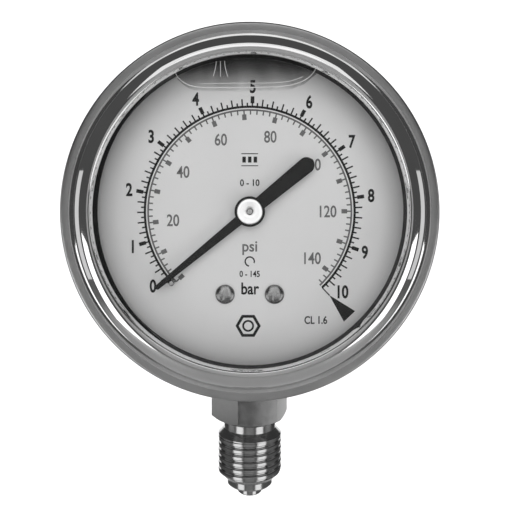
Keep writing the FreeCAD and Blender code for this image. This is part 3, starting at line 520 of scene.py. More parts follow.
def ring_outline():
    """Section of the ring from the hem round the outside to the lip, and back along the inside."""
    seat_r = WALL_R - RING_WALL - 0.6
    outside = [(HEM_R, HEM_Y), (BEZEL_R - 0.3, HEM_Y), (BEZEL_R, HEM_Y - 0.3)]
    outside += arc(BEZEL_R - CORNER, BAND_Y + CORNER, CORNER, 0, -90, 6)
    outside += [(BAND_INNER_R + 0.05, BAND_Y), (BAND_INNER_R - 0.05, BAND_Y + 0.03), (GROOVE_R, GROOVE_Y)]
    outside += [(GROOVE_R - 0.12, GROOVE_Y + 0.02), (WALL_R, GROOVE_Y - 0.15)]
    outside += [(WALL_R - 0.12, GROOVE_Y - 1.4)]
    outside += arc(CROWN_R, CROWN_Y + SLOPE_R, SLOPE_R, -33, -90, 20)
    lip = arc(CROWN_R, CROWN_Y + LIP_ROUND, LIP_ROUND, -95, -170, 8)
    lip += [(LIP_R, LIP_Y - LIP_ROUND), (LIP_R, LIP_Y)]
    inside = [(seat_r, LIP_Y), (seat_r, BAND_Y + RING_WALL * 0.2), (WALL_R - RING_WALL, FLANGE_Y)]
    inside += [(GROOVE_R - 0.3, FLANGE_Y), (FLANGE_R, FLANGE_Y)]
    inside += [(FLANGE_R, HEM_Y - RING_WALL), (HEM_R, HEM_Y - RING_WALL)]
    return outside + lip + inside


ring = lathe("polished_ring", ring_outline(), steps=256)
dress(ring, ring_polish, ring_satin)
for face in ring.data.polygons:
    middle = face.center
    radius = math.hypot(middle.x, middle.z - AXIS_Z)
    flat_band = radius > BAND_INNER_R - 0.02 and middle.y < BAND_Y + CORNER
    face.material_index = 1 if flat_band or radius > BEZEL_R - 0.4 else 0
settle(ring, 20)
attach(ring, "housing")
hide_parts("bezel_ring")


# %% [markdown]
# The window itself is a thick clear disc. Both edges of its rim have a small bevel, which the lip of the
# ring covers.

# %% Window
WINDOW_BEVEL = 0.2


def window_outline():
    front, back, radius = WINDOW_LOW.y, WINDOW_HIGH.y, disc_r("window")
    rim = radius - WINDOW_BEVEL
    edge = [(rim, front), (radius, front + WINDOW_BEVEL), (radius, back - WINDOW_BEVEL), (rim, back)]
    return [(0, front)] + edge + [(0, back)]


window = dress(lathe("window_disc", window_outline(), steps=128), window_clear)
settle(window)
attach(window, "housing")
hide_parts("window")


# %% [markdown]
# The stem is one turned and milled steel piece: a hexagon for the spanner, a neck, a cylindrical pipe
# thread and a short spigot. The turned parts are spun as one outline. The hexagon is a six-sided prism
# whose corners are taken off by a cone, which leaves the familiar curved chamfer lines, so a cone is used
# as the tool.

# %% Stem sizes
HEX_AF = 14.0
HEX_TURN = 13.0
HEX_LOW_Z, HEX_HIGH_Z = 11.0, 19.6
THREAD_R, THREAD_PITCH, THREAD_TOP = 6.5785, 1.337, 7.6
THREAD_DEPTH = 0.5
CORE_R = THREAD_R - THREAD_DEPTH
ROOT_R = 5.18
CHAMFER_Z = ROOT_R - THREAD_R
COLLAR_TOP = 25.1
INLET_R = 1.25
SPIGOT_R, SPIGOT_Z = 4.7, -3.1
TIP_R, TIP_Z = 2.5, STEM_LOW.z
NECK_R, COLLAR_R = 5.4, 8.2
print("hexagon from", HEX_LOW_Z, "to", HEX_HIGH_Z, "mm above the thread's end")


# %% [markdown]
# A six-sided cylinder makes the hexagon, and a cone spun to its own outline takes off the corners.

# %% Hexagon
def primitive(kind, name, **settings):
    clear_selection()
    getattr(bpy.ops.mesh, kind)(**settings)
    return named(name)


def chamfered_hexagon():
    depth = HEX_HIGH_Z - HEX_LOW_Z
    middle = (0, 0, (HEX_HIGH_Z + HEX_LOW_Z) / 2)
    across_corners = HEX_AF / math.cos(math.radians(30))
    turn = math.radians(HEX_TURN + 30)
    block = primitive(
        "primitive_cylinder_add",
        "stem_hexagon",
        vertices=6,
        radius=across_corners / 2,
        depth=depth,
        location=middle,
        rotation=(0, 0, turn),
    )
    activate(block)
    bpy.ops.object.transform_apply(location=True, rotation=True, scale=True)
    crown = HEX_AF / 2 + 0.1
    slope = math.tan(math.radians(30))
    reach = 3.0
    outline = [(0, HEX_LOW_Z), (crown, HEX_LOW_Z), (crown + reach, HEX_LOW_Z + reach * slope)]
    outline += [(crown + reach, HEX_HIGH_Z - reach * slope), (crown, HEX_HIGH_Z), (0, HEX_HIGH_Z)]
    cone = lathe("hexagon_cone", outline, steps=128, along="Z")
    cut(block, cone, "INTERSECT")
    apply_modifier(block, "BEVEL", width=0.12, segments=3, limit_method="ANGLE", angle_limit=SHARP)
    return block


hexagon = dress(chamfered_hexagon(), hexagon_bar)
settle(hexagon, 12)
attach(hexagon, "housing")
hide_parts("socket_stem")


# %% [markdown]
# The thread is a real right-hand helix, because its rising lines are what the eye takes for a thread. Its
# tooth is a small trapezium section. It is placed just below the thread, then spun and lifted a pitch for
# each turn with the Screw modifier, which is made for this. The turned blank, a cylinder with chamfered
# ends, then trims the first and last turns.

# %% Stem body and thread
def stem_core_outline():
    outline = [(0, TIP_Z), (TIP_R - 0.3, TIP_Z), (TIP_R, TIP_Z + 0.3), (TIP_R, SPIGOT_Z)]
    outline += [(SPIGOT_R - 0.4, SPIGOT_Z), (SPIGOT_R, SPIGOT_Z + 0.4), (SPIGOT_R, CHAMFER_Z)]
    outline += [(ROOT_R, CHAMFER_Z), (CORE_R, CHAMFER_Z + CORE_R - ROOT_R)]
    outline += [(CORE_R, THREAD_TOP - 0.7), (THREAD_R - 0.1, THREAD_TOP - 0.35), (THREAD_R, THREAD_TOP - 0.2)]
    outline += [(THREAD_R, THREAD_TOP), (NECK_R, THREAD_TOP + 1.2), (NECK_R, HEX_LOW_Z - 0.8)]
    return outline + [(NECK_R + 1.2, HEX_LOW_Z), (0, HEX_LOW_Z)]


def thread_ridge():
    """One turn's tooth section, screwed up the stem and closed at both ends."""
    root, crest = CORE_R - 0.15, THREAD_R
    half_root, half_crest = THREAD_PITCH * 0.47, THREAD_PITCH * 0.20
    low = -2.5 * THREAD_PITCH
    section = [(root, 0, low - half_root), (CORE_R + 0.02, 0, low - half_root * 0.92)]
    section += [(crest - 0.07, 0, low - half_crest * 1.35), (crest, 0, low - half_crest)]
    section += [(crest, 0, low + half_crest), (crest - 0.07, 0, low + half_crest * 1.35)]
    section += [(CORE_R + 0.02, 0, low + half_root * 0.92), (root, 0, low + half_root)]
    ridge = draw_outline("stem_thread", section)
    turns = int((THREAD_TOP + 5 * THREAD_PITCH) / THREAD_PITCH) + 1
    helix = {"axis": "Z", "angle": 2 * math.pi, "screw_offset": THREAD_PITCH, "iterations": turns}
    apply_modifier(ridge, "SCREW", steps=96, render_steps=96, **helix)
    edit(ridge)
    bpy.ops.mesh.remove_doubles(threshold=WELD)
    bpy.ops.mesh.fill_holes(sides=0)
    bpy.ops.mesh.select_all(action="SELECT")
    bpy.ops.mesh.normals_make_consistent(inside=False)
    leave_edit()
    return ridge


def thread_envelope():
    """The turned blank the thread is cut into: a cylinder with both ends chamfered."""
    chamfer = THREAD_R - CORE_R + 0.1
    low_z = CHAMFER_Z + CORE_R - ROOT_R - 0.1
    outline = [(0, low_z), (THREAD_R - chamfer, low_z), (THREAD_R, low_z + chamfer)]
    outline += [(THREAD_R, THREAD_TOP - 0.15), (0, THREAD_TOP - 0.15)]
    return lathe("thread_blank", outline, steps=96, along="Z")


stem_core = dress(lathe("stem_body", stem_core_outline(), steps=128, along="Z"), stem_turned)
inlet = {"vertices": 48, "radius": INLET_R, "depth": 6, "location": (0, 0, TIP_Z)}
cut(stem_core, primitive("primitive_cylinder_add", "inlet_tool", **inlet))
settle(stem_core, 30)
ridge = dress(cut(thread_ridge(), thread_envelope(), "INTERSECT"), stem_turned)
settle(ridge, 35)
collar_low = HEX_HIGH_Z - 0.2
collar_outline = [(0, collar_low), (COLLAR_R, collar_low), (COLLAR_R, COLLAR_TOP), (0, COLLAR_TOP)]
collar = dress(lathe("stem_collar", collar_outline, steps=96, along="Z"), hexagon_bar)
settle(collar, 30)
for piece in (stem_core, ridge, collar):
    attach(piece, "housing")
    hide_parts("socket_stem")


# %% [markdown]
# The socket block and the curved tube are behind the dial, where only a cut-away shows them, but they are
# still made whole. The tube is a flattened steel tube bent into an arc. Its free end moves when pressure
# rises; here the tube is left as one still piece and is attached to no body.

# %% Socket block and curved tube
BLOCK_BACK, BLOCK_FRONT = CASE_HIGH.y - 0.8, -6.5
BLOCK_W, BLOCK_LOW = 15.0, COLLAR_TOP - 0.2
block = primitive(
    "primitive_cube_add",
    "stem_block",
    size=1,
    location=(0, (BLOCK_BACK + BLOCK_FRONT) / 2, (STEM_HIGH.z + BLOCK_LOW) / 2),
    scale=(BLOCK_W, BLOCK_BACK - BLOCK_FRONT, STEM_HIGH.z - BLOCK_LOW),
)
activate(block)
bpy.ops.object.transform_apply(location=True, rotation=True, scale=True)
apply_modifier(block, "BEVEL", width=0.3, segments=2)
settle(dress(block, hexagon_bar))
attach(block, "housing")
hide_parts("socket_stem")

TUBE_R, TUBE_T, TUBE_W, TUBE_ROOT = 20.5, 2.6, 9.0, 252.0
straight = (TUBE_W - TUBE_T) / 2
tube_outline = [(TUBE_R + x, y + straight) for x, y in arc(0, 0, TUBE_T / 2, 0, 180, 12)]
tube_outline += [(TUBE_R + x, y - straight) for x, y in arc(0, 0, TUBE_T / 2, 180, 360, 12)]
tube = draw_outline("curved_tube", [(r, y, AXIS_Z) for r, y in tube_outline])
edit(tube)
bpy.ops.mesh.spin(steps=96, angle=math.radians(TUBE_ROOT), center=(0, 0, AXIS_Z), axis=(0, 1, 0))
bpy.ops.mesh.select_all(action="SELECT")
bpy.ops.mesh.fill_holes(sides=0)
bpy.ops.mesh.select_all(action="SELECT")
bpy.ops.mesh.normals_make_consistent(inside=False)
leave_edit()
settle(dress(tube, tube_steel), 40)
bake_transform(tube)
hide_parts("bourdon_tube")


# %% [markdown]
# The pointer is stamped from thin sheet: a blade that tapers to the tip, a round boss and a wide tail
# that balances it. Its outline is drawn once, filled, pushed out to the sheet's thickness, and its edges
# are rounded a little, so that they catch the light as a painted stamping does.

# %% Pointer
POINTER_REST = math.radians(-129.3)
TIP_ROUND, TAIL_ROUND, BOSS_R = 0.45, 1.5, 2.8
TIP_ALONG, TAIL_ALONG = 22.3 - TIP_ROUND, TAIL_ROUND - 14.9
POINTER_FRONT, POINTER_BACK = POINTER_LOW.y, POINTER_HIGH.y


def dial_point(clockwise, radius, y):
    """A point on the dial, from its clockwise angle in radians and its radius."""
    return (radius * math.sin(clockwise), y, AXIS_Z + radius * math.cos(clockwise))


def turned(points, clockwise, y):
    """Flat (across, along) points turned so that `along` points in a clockwise direction."""
    s, c = math.sin(clockwise), math.cos(clockwise)
    return [(a * c + b * s, y, AXIS_Z - a * s + b * c) for a, b in points]


def plate(name, points, back, clockwise=0.0, front=0.0, bevel=0.0):
    """A flat sheet part: outline, face, thickness, rounded edges."""
    piece = draw_outline(name, turned(points, clockwise, back), closed=False)
    edit(piece)
    bpy.ops.mesh.edge_face_add()
    bpy.ops.mesh.select_all(action="SELECT")
    bpy.ops.mesh.extrude_region_move(TRANSFORM_OT_translate={"value": (0, front - back, 0)})
    bpy.ops.mesh.select_all(action="SELECT")
    bpy.ops.mesh.normals_make_consistent(inside=False)
    leave_edit()
    if bevel:
        apply_modifier(piece, "BEVEL", width=bevel, segments=3, limit_method="ANGLE", angle_limit=SHARP)
    return piece


pointer_outline = [(x, TIP_ALONG + y) for x, y in arc(0, 0, TIP_ROUND, 0, 180, 10)]
pointer_outline += [(-0.90, 2.6)]
pointer_outline += arc(0, 0, BOSS_R, 110, 244, 16)
pointer_outline += [(x, TAIL_ALONG + y) for x, y in arc(0, 0, TAIL_ROUND, 180, 360, 14)]
pointer_outline += arc(0, 0, BOSS_R, 296, 430, 16)
pointer_outline += [(0.90, 2.6)]
pointer = plate("pointer_blade", pointer_outline, POINTER_BACK, POINTER_REST, POINTER_FRONT, 0.09)
settle(dress(pointer, pointer_black), 40)
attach(pointer, "pointer_shaft")
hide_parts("pointer")


# %% [markdown]
# In front of the pointer sits a small turned disc with a rounded rim. It is spun with a shallow dish,
# because a dished face catches the light unevenly, and with a step round the spindle's end.

# %% Hub
HUB_R, HUB_ROUND, BARREL_R = disc_r("pointer_hub"), 0.15, 1.17
dish = [(0, 0.22), (0.42, 0.20), (0.52, 0.16), (0.62, 0.10), (1.10, 0.07), (1.65, 0.02)]
hub_outline = [(r, HUB_LOW.y + depth) for r, depth in dish]
hub_outline += arc(HUB_R - HUB_ROUND, HUB_LOW.y + HUB_ROUND, HUB_ROUND, -90, 0, 6)
hub_outline += [(HUB_R, POINTER_FRONT), (BARREL_R, POINTER_FRONT), (BARREL_R, HUB_HIGH.y), (0, HUB_HIGH.y)]
hub = dress(lathe("hub_disc", hub_outline, steps=96), hub_turned)
settle(hub, 35)
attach(hub, "pointer_shaft")
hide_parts("pointer_hub")


# %% [markdown]
# Two pan-head screws hold the dial. A pan head is spun, then its recess is cut with a cross and a smaller
# cross turned by 45 degrees, as this kind of driver recess has. The second screw is a copy with its own
# mesh, moved in edit mode, so that its object stays at the origin.

# %% Dial screws
SCREW_X, SCREW_Z, SCREW_R, SCREW_H = 4.6, -15.4, 1.8, 0.75
SHANK_R, SHANK_END = 0.68, DIAL_HIGH.y + 2.4
RECESS_TURN, SHADED_RECESS_REACH, SHADED_RECESS_DEPTH = 20, 1.25, 0.15
dial_face = DIAL_LOW.y


def shift(piece, step):
    """Move a piece's mesh and leave its object where it is."""
    edit(piece)
    bpy.ops.transform.translate(value=step)
    leave_edit()


def pan_head(name):
    rise = dial_face - SCREW_H
    dome = [(0, 0), (0.9, 0.02), (1.35, 0.13), (1.65, 0.30), (SCREW_R, 0.52)]
    outline = [(r, rise + depth) for r, depth in dome]
    outline += [(SCREW_R, dial_face - 0.04), (SCREW_R - 0.04, dial_face), (SHANK_R, dial_face)]
    outline += [(SHANK_R, SHANK_END), (0, SHANK_END)]
    head = lathe(name, outline, steps=64)
    for turn, width, reach in ((0, 0.42, 1.15), (90, 0.42, 1.15), (45, 0.16, 0.85), (135, 0.16, 0.85)):
        tool = primitive(
            "primitive_cube_add",
            "recess_tool",
            size=1,
            location=(0, rise + 0.1, AXIS_Z),
            scale=(2 * reach, 0.9, width),
            rotation=(0, math.radians(turn + RECESS_TURN), 0),
        )
        cut(head, tool)
    # Faces deep in the recess take the second, darker finish: painted shade in the recess.
    for face in head.data.polygons:
        out = math.hypot(face.center.x, face.center.z - AXIS_Z)
        face.material_index = int(out < SHADED_RECESS_REACH and face.center.y > rise + SHADED_RECESS_DEPTH)
    shift(head, (-SCREW_X, 0, SCREW_Z))
    return head


left_screw = settle(dress(pan_head("dial_screw_left"), screw_bright, screw_recess_painted_shade), 25)
activate(left_screw)
bpy.ops.object.duplicate()
right_screw = named("dial_screw_right")
shift(right_screw, (2 * SCREW_X * MM, 0, 0))
for screw in (left_screw, right_screw):
    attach(screw, "housing")
    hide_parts("dial_screws")

# %% [markdown]
# The print on the dial is a thin film of ink. Each group of marks is one piece: an arc that is spun for
# part of a turn, and small bars set round it. A bar is written as a start and end radius and a width, and
# turned to its place. The outer scale is black and the inner one grey, and both share the same zero and
# the same sweep.

# %% Dial print tools
INK_BACK = dial_face
INK_FRONT = dial_face - 0.03
BAR_FULL = 10
ZERO_TURN = -135.0 + 1.4
SWEEP = 270.0
PSI_PER_BAR = 14.5038


def bar_turn(value):
    """Clockwise angle in radians of a value in bar."""
    return math.radians(ZERO_TURN + SWEEP * value / BAR_FULL)


def scale_arc(name, inner, outer, material):
    """The curved base line of a scale."""
    start = bar_turn(0)
    outline = [(inner, INK_FRONT), (outer, INK_FRONT), (outer, INK_BACK), (inner, INK_BACK)]
    piece = draw_outline(name, [dial_point(start, r, y) for r, y in outline])
    edit(piece)
    bpy.ops.mesh.spin(steps=180, angle=-math.radians(SWEEP), center=(0, 0, AXIS_Z), axis=(0, 1, 0))
    bpy.ops.mesh.select_all(action="SELECT")
    bpy.ops.mesh.fill_holes(sides=0)
    bpy.ops.mesh.select_all(action="SELECT")
    bpy.ops.mesh.normals_make_consistent(inside=False)
    leave_edit()
    return dress(piece, material)


def add_bar(turn, inner, outer, width):
    """One printed bar: a piece of its own, or one more bar in the piece that is being edited."""
    middle = dial_point(turn, (inner + outer) / 2, (INK_BACK + INK_FRONT) / 2)
    bpy.ops.mesh.primitive_cube_add(
        size=1, location=middle, rotation=(0, turn, 0), scale=(width, INK_BACK - INK_FRONT, outer - inner)
    )


def bars(name, rows, material):
    """A piece made of printed bars: rows of (turn, inner radius, outer radius, width)."""
    clear_selection()
    add_bar(*rows[0])
    piece = named(name)
    bpy.ops.object.transform_apply(location=True, rotation=True, scale=True)
    edit(piece)
    for row in rows[1:]:
        add_bar(*row)
    leave_edit()
    return dress(piece, material)


def on_dial(piece):
    settle(piece, 30)
    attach(piece, "housing")
    return piece


# %% [markdown]
# Outer scale: a base line, a short tick each tenth of a bar, a longer one each second tenth, and a broad
# block at each whole bar. Inner scale: a tick each 2 psi and a block each 10 psi, on the inner side.

# %% Scales
ARC_R, ARC_W = 19.55, 0.42
PSI_ARC_R, PSI_ARC_W = 18.95, 0.32
SHORT_R, LONG_R, WHOLE_R, TICK_W = 20.3, 21.0, 20.4, 0.27
PSI_TICK_R, PSI_TICK_W = 18.1, 0.26


def tick_reach(tenth):
    if tenth % BAR_FULL == 0:
        return WHOLE_R
    return SHORT_R if tenth % 2 else LONG_R


def psi_turn(psi):
    return bar_turn(psi / PSI_PER_BAR)


ticks = [(bar_turn(k / 10), ARC_R, tick_reach(k), TICK_W) for k in range(1, 100)]
blocks = [(bar_turn(k), 20.2, 21.5, 0.68) for k in range(1, BAR_FULL)]
psi_ticks = [(psi_turn(psi), PSI_TICK_R, PSI_ARC_R, PSI_TICK_W) for psi in range(0, 146, 2)]
psi_blocks = [(psi_turn(psi), 17.1, 18.15, 0.80) for psi in range(0, 146, 10)]
on_dial(bars("bar_ticks", ticks, black_ink))
on_dial(bars("bar_blocks", blocks, black_ink))
on_dial(scale_arc("bar_line", ARC_R - ARC_W / 2, ARC_R + ARC_W / 2, black_ink))
on_dial(bars("psi_ticks", psi_ticks, grey_ink))
on_dial(bars("psi_blocks", psi_blocks, grey_ink))
on_dial(scale_arc("psi_line", PSI_ARC_R - PSI_ARC_W / 2, PSI_ARC_R + PSI_ARC_W / 2, grey_ink))


# %% [markdown]
# Numbers and words start as Blender text, which keeps their curves true. A little offset makes the
# strokes heavier and a narrower X scale gives the condensed look of dial lettering. Each text is made
# mesh before it is put in place, so that its place can be applied.

# %% Lettering
DIGIT_SHARE = 0.70


def lettering(name, words, centre, height, narrow, weight, material):
    """Upright text on the dial, its digits `height` millimetres tall, centred on (x, z)."""
    clear_selection()
    bpy.ops.object.text_add()
    writing = named(name)
    writing.data.body = words
    writing.data.align_x = "CENTER"
    writing.data.offset = weight
    writing.data.resolution_u = 4
    activate(writing)
    bpy.ops.object.convert(target="MESH")
    writing = named(name)
    size = height / DIGIT_SHARE
    edit(writing)
    bpy.ops.mesh.remove_doubles(threshold=WELD)
    ink = (INK_BACK - INK_FRONT) / size
    bpy.ops.mesh.extrude_region_move(TRANSFORM_OT_translate={"value": (0, 0, ink)})
    bpy.ops.mesh.select_all(action="SELECT")
    bpy.ops.mesh.normals_make_consistent(inside=False)
    leave_edit()
    writing.scale = (size * narrow, size, size)
    writing.rotation_euler = (math.radians(90), 0, 0)
    writing.location = (centre[0], INK_BACK, AXIS_Z + centre[1] - height / 2)
    activate(writing)
    bpy.ops.object.transform_apply(location=True, rotation=True, scale=True)
    return dress(writing, material)


def ring_of_numbers(name, values, radius, rise, height, narrow, weight, material):
    """Numbers set upright round the dial and joined to one piece. The top ones stand `rise` further out."""
    made = []
    for value, turn in values:
        out = radius + rise * max(0.0, math.cos(turn))
        centre = (out * math.sin(turn), out * math.cos(turn))
        made.append(lettering(f"{name}_{value}", str(value), centre, height, narrow, weight, material))
    clear_selection()
    for piece in made:
        piece.select_set(True)
    bpy.context.view_layer.objects.active = made[0]
    bpy.ops.object.join()
    return on_dial(named(name))


bar_values = [(k, bar_turn(k)) for k in range(1, BAR_FULL)]
bar_values = [(0, math.radians(-127.5))] + bar_values + [(BAR_FULL, math.radians(131.0))]
psi_values = [(psi, psi_turn(psi)) for psi in range(20, 141, 20)]
ring_of_numbers("bar_numbers", bar_values, 22.75, 0.6, 2.3, 0.74, 0.030, black_ink)
ring_of_numbers("psi_numbers", psi_values, 14.4, 0.1, 2.15, 0.78, 0.015, grey_ink)
on_dial(lettering("psi_unit", "psi", (0, -6.4), 2.0, 0.95, 0.015, grey_ink))
on_dial(lettering("bar_unit", "bar", (0, -14.3), 2.15, 0.82, 0.022, black_ink))
on_dial(lettering("class_mark", "CL 1.6", (12.3, -20.2), 1.4, 0.80, 0.02, black_ink))

# %% [markdown]
# A wedge outside the scale marks the end of the range. A few plain marks sit on the middle line of the
# dial: three squares between two rules, the two ranges in figures, an open ring for the curved tube, and
# a nut.

# %% Plain marks
def print_shape(name, outline, clockwise=0.0):
    return on_dial(dress(plate(name, outline, INK_BACK, clockwise, INK_FRONT), black_ink))


def print_box(name, x, z, half_w, half_h):
    corners = ((-1, -1), (1, -1), (1, 1), (-1, 1))
    return print_shape(name, [(x + i * half_w, z + k * half_h) for i, k in corners])


WEDGE_HALF, WEDGE_IN, WEDGE_OUT = math.radians(3.05), 21.5, 27.0
end = bar_turn(BAR_FULL)
wedge = [(WEDGE_IN, 0.0), (WEDGE_OUT, -WEDGE_HALF), (WEDGE_OUT, WEDGE_HALF)]
print_shape("end_wedge", [(r * math.sin(a), r * math.cos(a)) for r, a in wedge], end)
on_dial(bars("end_line", [(end, ARC_R, WEDGE_IN + 0.1, 0.22)], black_ink))
print_box("rule_upper", 0, 10.8, 1.55, 0.08)
print_box("rule_lower", 0, 8.55, 1.55, 0.08)
for k, x in enumerate((-1.05, 0.0, 1.05)):
    print_box(f"plain_mark_{k}", x, 9.7, 0.32, 0.55)
on_dial(lettering("range_bar", "0 - 10", (0, 5.4), 1.2, 0.9, 0.02, black_ink))
on_dial(lettering("range_psi", "0 - 145", (0, -11.6), 1.1, 0.85, 0.02, black_ink))


def flat_ring(name, centre, inner, outer, sides, sweep, start=0.0):
    """A printed ring, or part of one, from two outlines of the same number of sides."""
    count = max(1, round(sides * sweep / 360))
    rim = arc(centre[0], centre[1], outer, start, start + sweep, count)
    hole = arc(centre[0], centre[1], inner, start + sweep, start, count)
    return print_shape(name, rim + hole)


NUT_CENTRE = (-0.3, -21.3)
FULL_RING = 359.9
flat_ring("tube_symbol", (0, -9.3), 0.72, 0.98, 48, start=-20, sweep=280)
flat_ring("nut_symbol_rim", NUT_CENTRE, 1.75, 2.35, 6, sweep=FULL_RING)
flat_ring("nut_symbol_ring", NUT_CENTRE, 0.75, 1.10, 40, sweep=FULL_RING)


# %% [markdown]
# The case is filled with clear liquid up to near the top. The liquid itself cannot be seen, only its
# surface: a bright, slightly doubled line with rounded ends where it climbs the window, and a darker zone
# of air above. The lines and streaks are thin glossy beads swept along a smooth path. Their light grey
# colour is a painted highlight, and the dark hooks and the dark drip are a painted dark reflection, since the
# liquid is clear. The zone of air is covered by a thin dark sheet, darker towards the top: painted shadow
# of the ring.

# %% Liquid surface
LIQUID_Y = WINDOW_HIGH.y + 0.45
LIQUID_LEVEL = 22.4


def bead(name, path, radius, material):
    """A thin round bead of liquid through (x, z) points: a smooth curve with a bevel, made mesh."""
    curve = bpy.data.curves.new(name, "CURVE")
    curve.dimensions = "3D"
    spline = curve.splines.new("NURBS")
    spline.points.add(len(path) - 1)
    for point, (x, z) in zip(spline.points, path):
        point.co = (x, LIQUID_Y, AXIS_Z + z, 1)
    spline.use_endpoint_u = True
    spline.order_u = 4
    curve.resolution_u = 6
    curve.bevel_depth = radius
    curve.bevel_resolution = 2
    curve.use_fill_caps = True
    piece = bpy.data.objects.new(name, curve)
    bpy.context.collection.objects.link(piece)
    activate(piece)
    bpy.ops.object.convert(target="MESH")
    piece = settle(dress(named(name), material), 60)
    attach(piece, "housing")
    return piece


def liquid_finish(name, level, alpha):
    f = Finish(name)
    wave = f.noise(f.coordinates(), 0.5, 2.0)
    f.put(Base_Color=grey(level), Metallic=0.0, IOR=1.45, Alpha=alpha, Roughness=wave * 0.1)
    f.bump(wave, 0.02)
    return f.material


def pocket_finish():
    """Painted shadow of the ring over the air above the liquid: nearly clear at the liquid line, darker
    towards the top.
    """
    f = Finish("painted_ring_shadow")
    where = f.coordinates(DIAL_CENTRE)
    height = f.node("ShaderNodeSeparateXYZ", None, {0: where}, "Z")
    streak = f.noise(f.coordinates(DIAL_CENTRE, scale=(1, 1, 0.35)), 3.0, 2.0)
    rise = (height / MM - LIQUID_LEVEL) / 6.0 + (streak - 0.5) * 0.35
    shade = f.ramp(rise, (0.0, tone(0.0)), (0.5, tone(0.25)), (1.0, tone(0.70)))
    f.put(Base_Color=grey(0.03), Roughness=0.6, Alpha=shade)
    return f.material


# The bright liquid finish is a painted highlight, light grey on clear liquid; the dark one is a painted dark
# reflection.
liquid_painted_highlight = liquid_finish("liquid_painted_highlight", 0.95, 0.75)
liquid_painted_dark_reflection = liquid_finish("liquid_painted_dark_reflection", 0.02, 0.8)
painted_ring_shadow = pocket_finish()
left_rise = [(-13.4, 24.7), (-12.6, 23.8), (-11.3, 22.9)]
level_run = [(0.0, 22.45), (5.0, 22.5), (8.0, 22.9), (10.2, 23.8), (11.5, 24.9)]
lower_line = [(-13.5, 25.4)] + left_rise + [(-9.5, 22.45), (-6.0, 22.40)] + level_run + [(12.0, 26.0)]
upper_line = [(-9.0, 23.1), (-4.0, 23.25), (0.0, 23.2), (4.0, 23.25), (7.6, 23.45), (9.6, 24.4)]
bead("liquid_line_lower", lower_line, 0.10, liquid_painted_highlight)
bead("liquid_line_upper", upper_line, 0.07, liquid_painted_highlight)
left_hook = [(-13.9, 25.0), (-13.6, 26.0), (-12.9, 26.6), (-12.2, 26.3), (-12.6, 25.6), (-13.3, 25.3)]
right_hook = [(9.8, 26.9), (10.2, 26.2), (10.9, 25.9), (11.4, 26.3), (11.2, 27.0)]
bead("liquid_hook_left", left_hook, 0.13, liquid_painted_dark_reflection)
bead("liquid_hook_right", right_hook, 0.13, liquid_painted_dark_reflection)
drip_left = [(-8.0, 27.6), (-7.0, 27.2), (-6.2, 27.4), (-5.6, 27.9)]
bead("drip_dark", drip_left, 0.12, liquid_painted_dark_reflection)
for k, (x, tilt) in enumerate(((-6.1, 0.25), (-5.3, 0.0), (-4.5, -0.25))):
    streak = [(x + tilt * 0.2, 27.2), (x, 26.2), (x - tilt, 25.2), (x - 2.2 * tilt, 24.4)]
    bead(f"drip_streak_{k}", streak, 0.08, liquid_painted_highlight)

# A dark sheet over the air above the liquid, darker towards the top: painted shadow of the ring.
rim = arc(0, 0, 28.6, 64, 118, 18)
painted_shadow_outline = [(-9.5, 22.45)] + level_run + rim + left_rise
shadow_sheet = plate("air_pocket", painted_shadow_outline, INK_FRONT - 0.03, 0.0, INK_FRONT - 0.07)
settle(dress(shadow_sheet, painted_ring_shadow))
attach(shadow_sheet, "housing")


# %% [markdown]
# The rubber seal shows as a black crescent on the left, where it sits a little off centre behind the
# ring.

# %% Seal's edge
def crescent(name, radius, uncovered, start, end, count=60):
    """The part of a disc's rim that shows beside a smaller disc, widest at its middle."""
    turns = [math.radians(start + (end - start) * k / count) for k in range(count + 1)]
    outer = [(radius * math.sin(a), radius * math.cos(a)) for a in turns]
    inner = []
    for k, (x, z) in enumerate(reversed(outer)):
        share = 1 - uncovered * math.sin(math.pi * k / count) ** 0.5 / radius
        inner.append((x * share, z * share))
    return plate(name, outer + inner[1:-1], WINDOW_HIGH.y + 0.5, 0.0, WINDOW_HIGH.y + 0.2)


seal_edge = settle(dress(crescent("seal_edge", 28.45, 0.95, -148.0, -38.0), black_rubber))
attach(seal_edge, "housing")

# %% [markdown]
# What is left of the engineering model keeps its own shapes and only gets a finish.

# %% Finishes for the model's own parts
OWN_FINISH = {"case_shell": case_satin, "dial": dial_paint}
OWN_FINISH.update(dict.fromkeys(("window_gasket", "fill_plug", "stem_seal"), black_rubber))
OWN_FINISH.update(dict.fromkeys(("case_screws", "stop_pin", "movement_screws"), screw_bright))
OWN_FINISH.update(dict.fromkeys(("sector_arbor", "pinion_arbor", "tail_pin", "tip_pin"), screw_bright))
OWN_FINISH.update(dict.fromkeys(("inlet_restrictor", "dial_posts", "sector_gear", "movement_pillars"), brass))
OWN_FINISH.update(dict.fromkeys(("movement_back_plate", "movement_front_plate"), brass))
OWN_FINISH.update(dict.fromkeys(("hairspring_stud", "hairspring_collet"), brass))
OWN_FINISH.update(dict.fromkeys(("link", "tip_block"), tube_steel))
OWN_FINISH["hairspring"] = spring_bronze
for node, piece in frame["nodes"].items():
    if node in OWN_FINISH:
        dress(piece, OWN_FINISH[node])
        smooth(piece, 30)
print("plain nodes:", sorted(set(frame["nodes"]) - set(OWN_FINISH)))


# %% [markdown]
# The studio is a pale floor well below the gauge and a backdrop that glows, so that it prints as clean
# white. Soft lights stand low in front on both sides, at each side, and above. The rest of the room is
# dark, and so is a card behind the camera: polished steel shows its surroundings, and looks like steel
# only if some of them are dark.

# %% Studio
FLOOR_Z = STEM_LOW.z * MM - 0.30
SET = ("floor", "backdrop", "dark_card")
NO_DIAL_LAMP = SET + ("polished_ring", "window_disc", "case_shell")


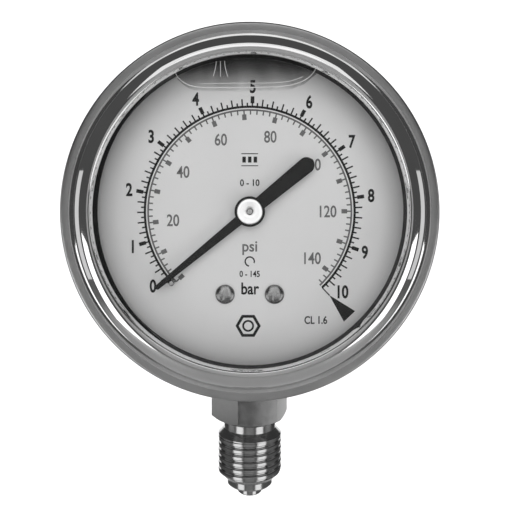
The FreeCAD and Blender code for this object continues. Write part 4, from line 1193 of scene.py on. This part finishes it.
def studio_white(name, glow):
    f = Finish(name)
    cloud = f.noise(f.coordinates(), 300.0, 2.0)
    f.put(Base_Color=f.ramp(cloud, (0.3, tone(0.80)), (0.7, tone(0.84))), Roughness=0.9)
    f.put(Emission_Color=grey(1.0), Emission_Strength=glow)
    return f.material


def sheet(name, place, size, turn, glow):
    """A flat sheet of the set, which glows if asked to."""
    clear_selection()
    bpy.ops.mesh.primitive_plane_add(size=1.0, location=place, rotation=turn)
    piece = named(name)
    piece.scale = (size[0], size[1], 1)
    bpy.ops.object.transform_apply(location=True, rotation=True, scale=True)
    dress(piece, studio_white(name, glow))
    return piece


def soft_light(name, place, aim, size, power):
    data = bpy.data.lights.new(name, "AREA")
    data.shape = "RECTANGLE"
    data.size, data.size_y = size
    data.energy = power
    lamp = bpy.data.objects.new(name, data)
    bpy.context.collection.objects.link(lamp)
    lamp.location = place
    lamp.rotation_euler = (Vector(aim) - Vector(place)).to_track_quat("-Z", "Y").to_euler()
    return lamp


sheet("floor", (0, 0, FLOOR_Z), (4.0, 4.0), (0, 0, 0), 0.0)
sheet("backdrop", (0, 0.5, 0.02), (0.62, 0.80), (math.radians(90), 0, 0), 1.05)
sheet("dark_card", (0, -0.62, 0.1), (0.42, 1.0), (math.radians(-90), 0, 0), 0.05)
centre = (0, 0, AXIS_Z * MM)
stem_middle = (0, 0, 0.005)
soft_light("lower_left", (-0.38, -0.39, -0.17), centre, (0.30, 0.34), 0.52)
soft_light("lower_right", (0.38, -0.39, -0.17), centre, (0.30, 0.34), 0.52)
soft_light("side_left", (-0.60, -0.02, 0.0), stem_middle, (0.40, 0.40), 0.30)
soft_light("side_right", (0.60, -0.02, 0.0), stem_middle, (0.40, 0.40), 0.30)
soft_light("front_top", (0, -0.55, 0.50), centre, (0.70, 0.32), 0.60)

# %% [markdown]
# The dial wants far more light than the polished ring can stand, so one lamp is linked to what lies
# behind the window only. Light linking is Blender's version of a card held in front of a lamp.

# %% Lamp for the dial
behind_window = bpy.data.collections.new("behind_window")
for piece in bpy.data.objects:
    if piece.type == "MESH" and piece.name not in NO_DIAL_LAMP and "stem" not in piece.name:
        behind_window.objects.link(piece)
dial_lamp = soft_light("dial_lamp", (0, -0.60, 0.12), centre, (0.60, 0.60), 1.75)
dial_lamp.light_linking.receiver_collection = behind_window

# %% [markdown]
# The room itself gives a very dim, even light. The picture's tones are kept as they are worked out, so
# that the glowing backdrop comes out white.

# %% The dim room
world = bpy.data.worlds.new("room")
world.use_nodes = True
world.node_tree.nodes["Background"].inputs["Color"].default_value = grey(0.07)
world.node_tree.nodes["Background"].inputs["Strength"].default_value = 1.0
bpy.context.scene.world = world
bpy.context.scene.view_settings.view_transform = "Standard"
print("studio ready")

# %% [markdown]

# %% Finish
print("scene built")
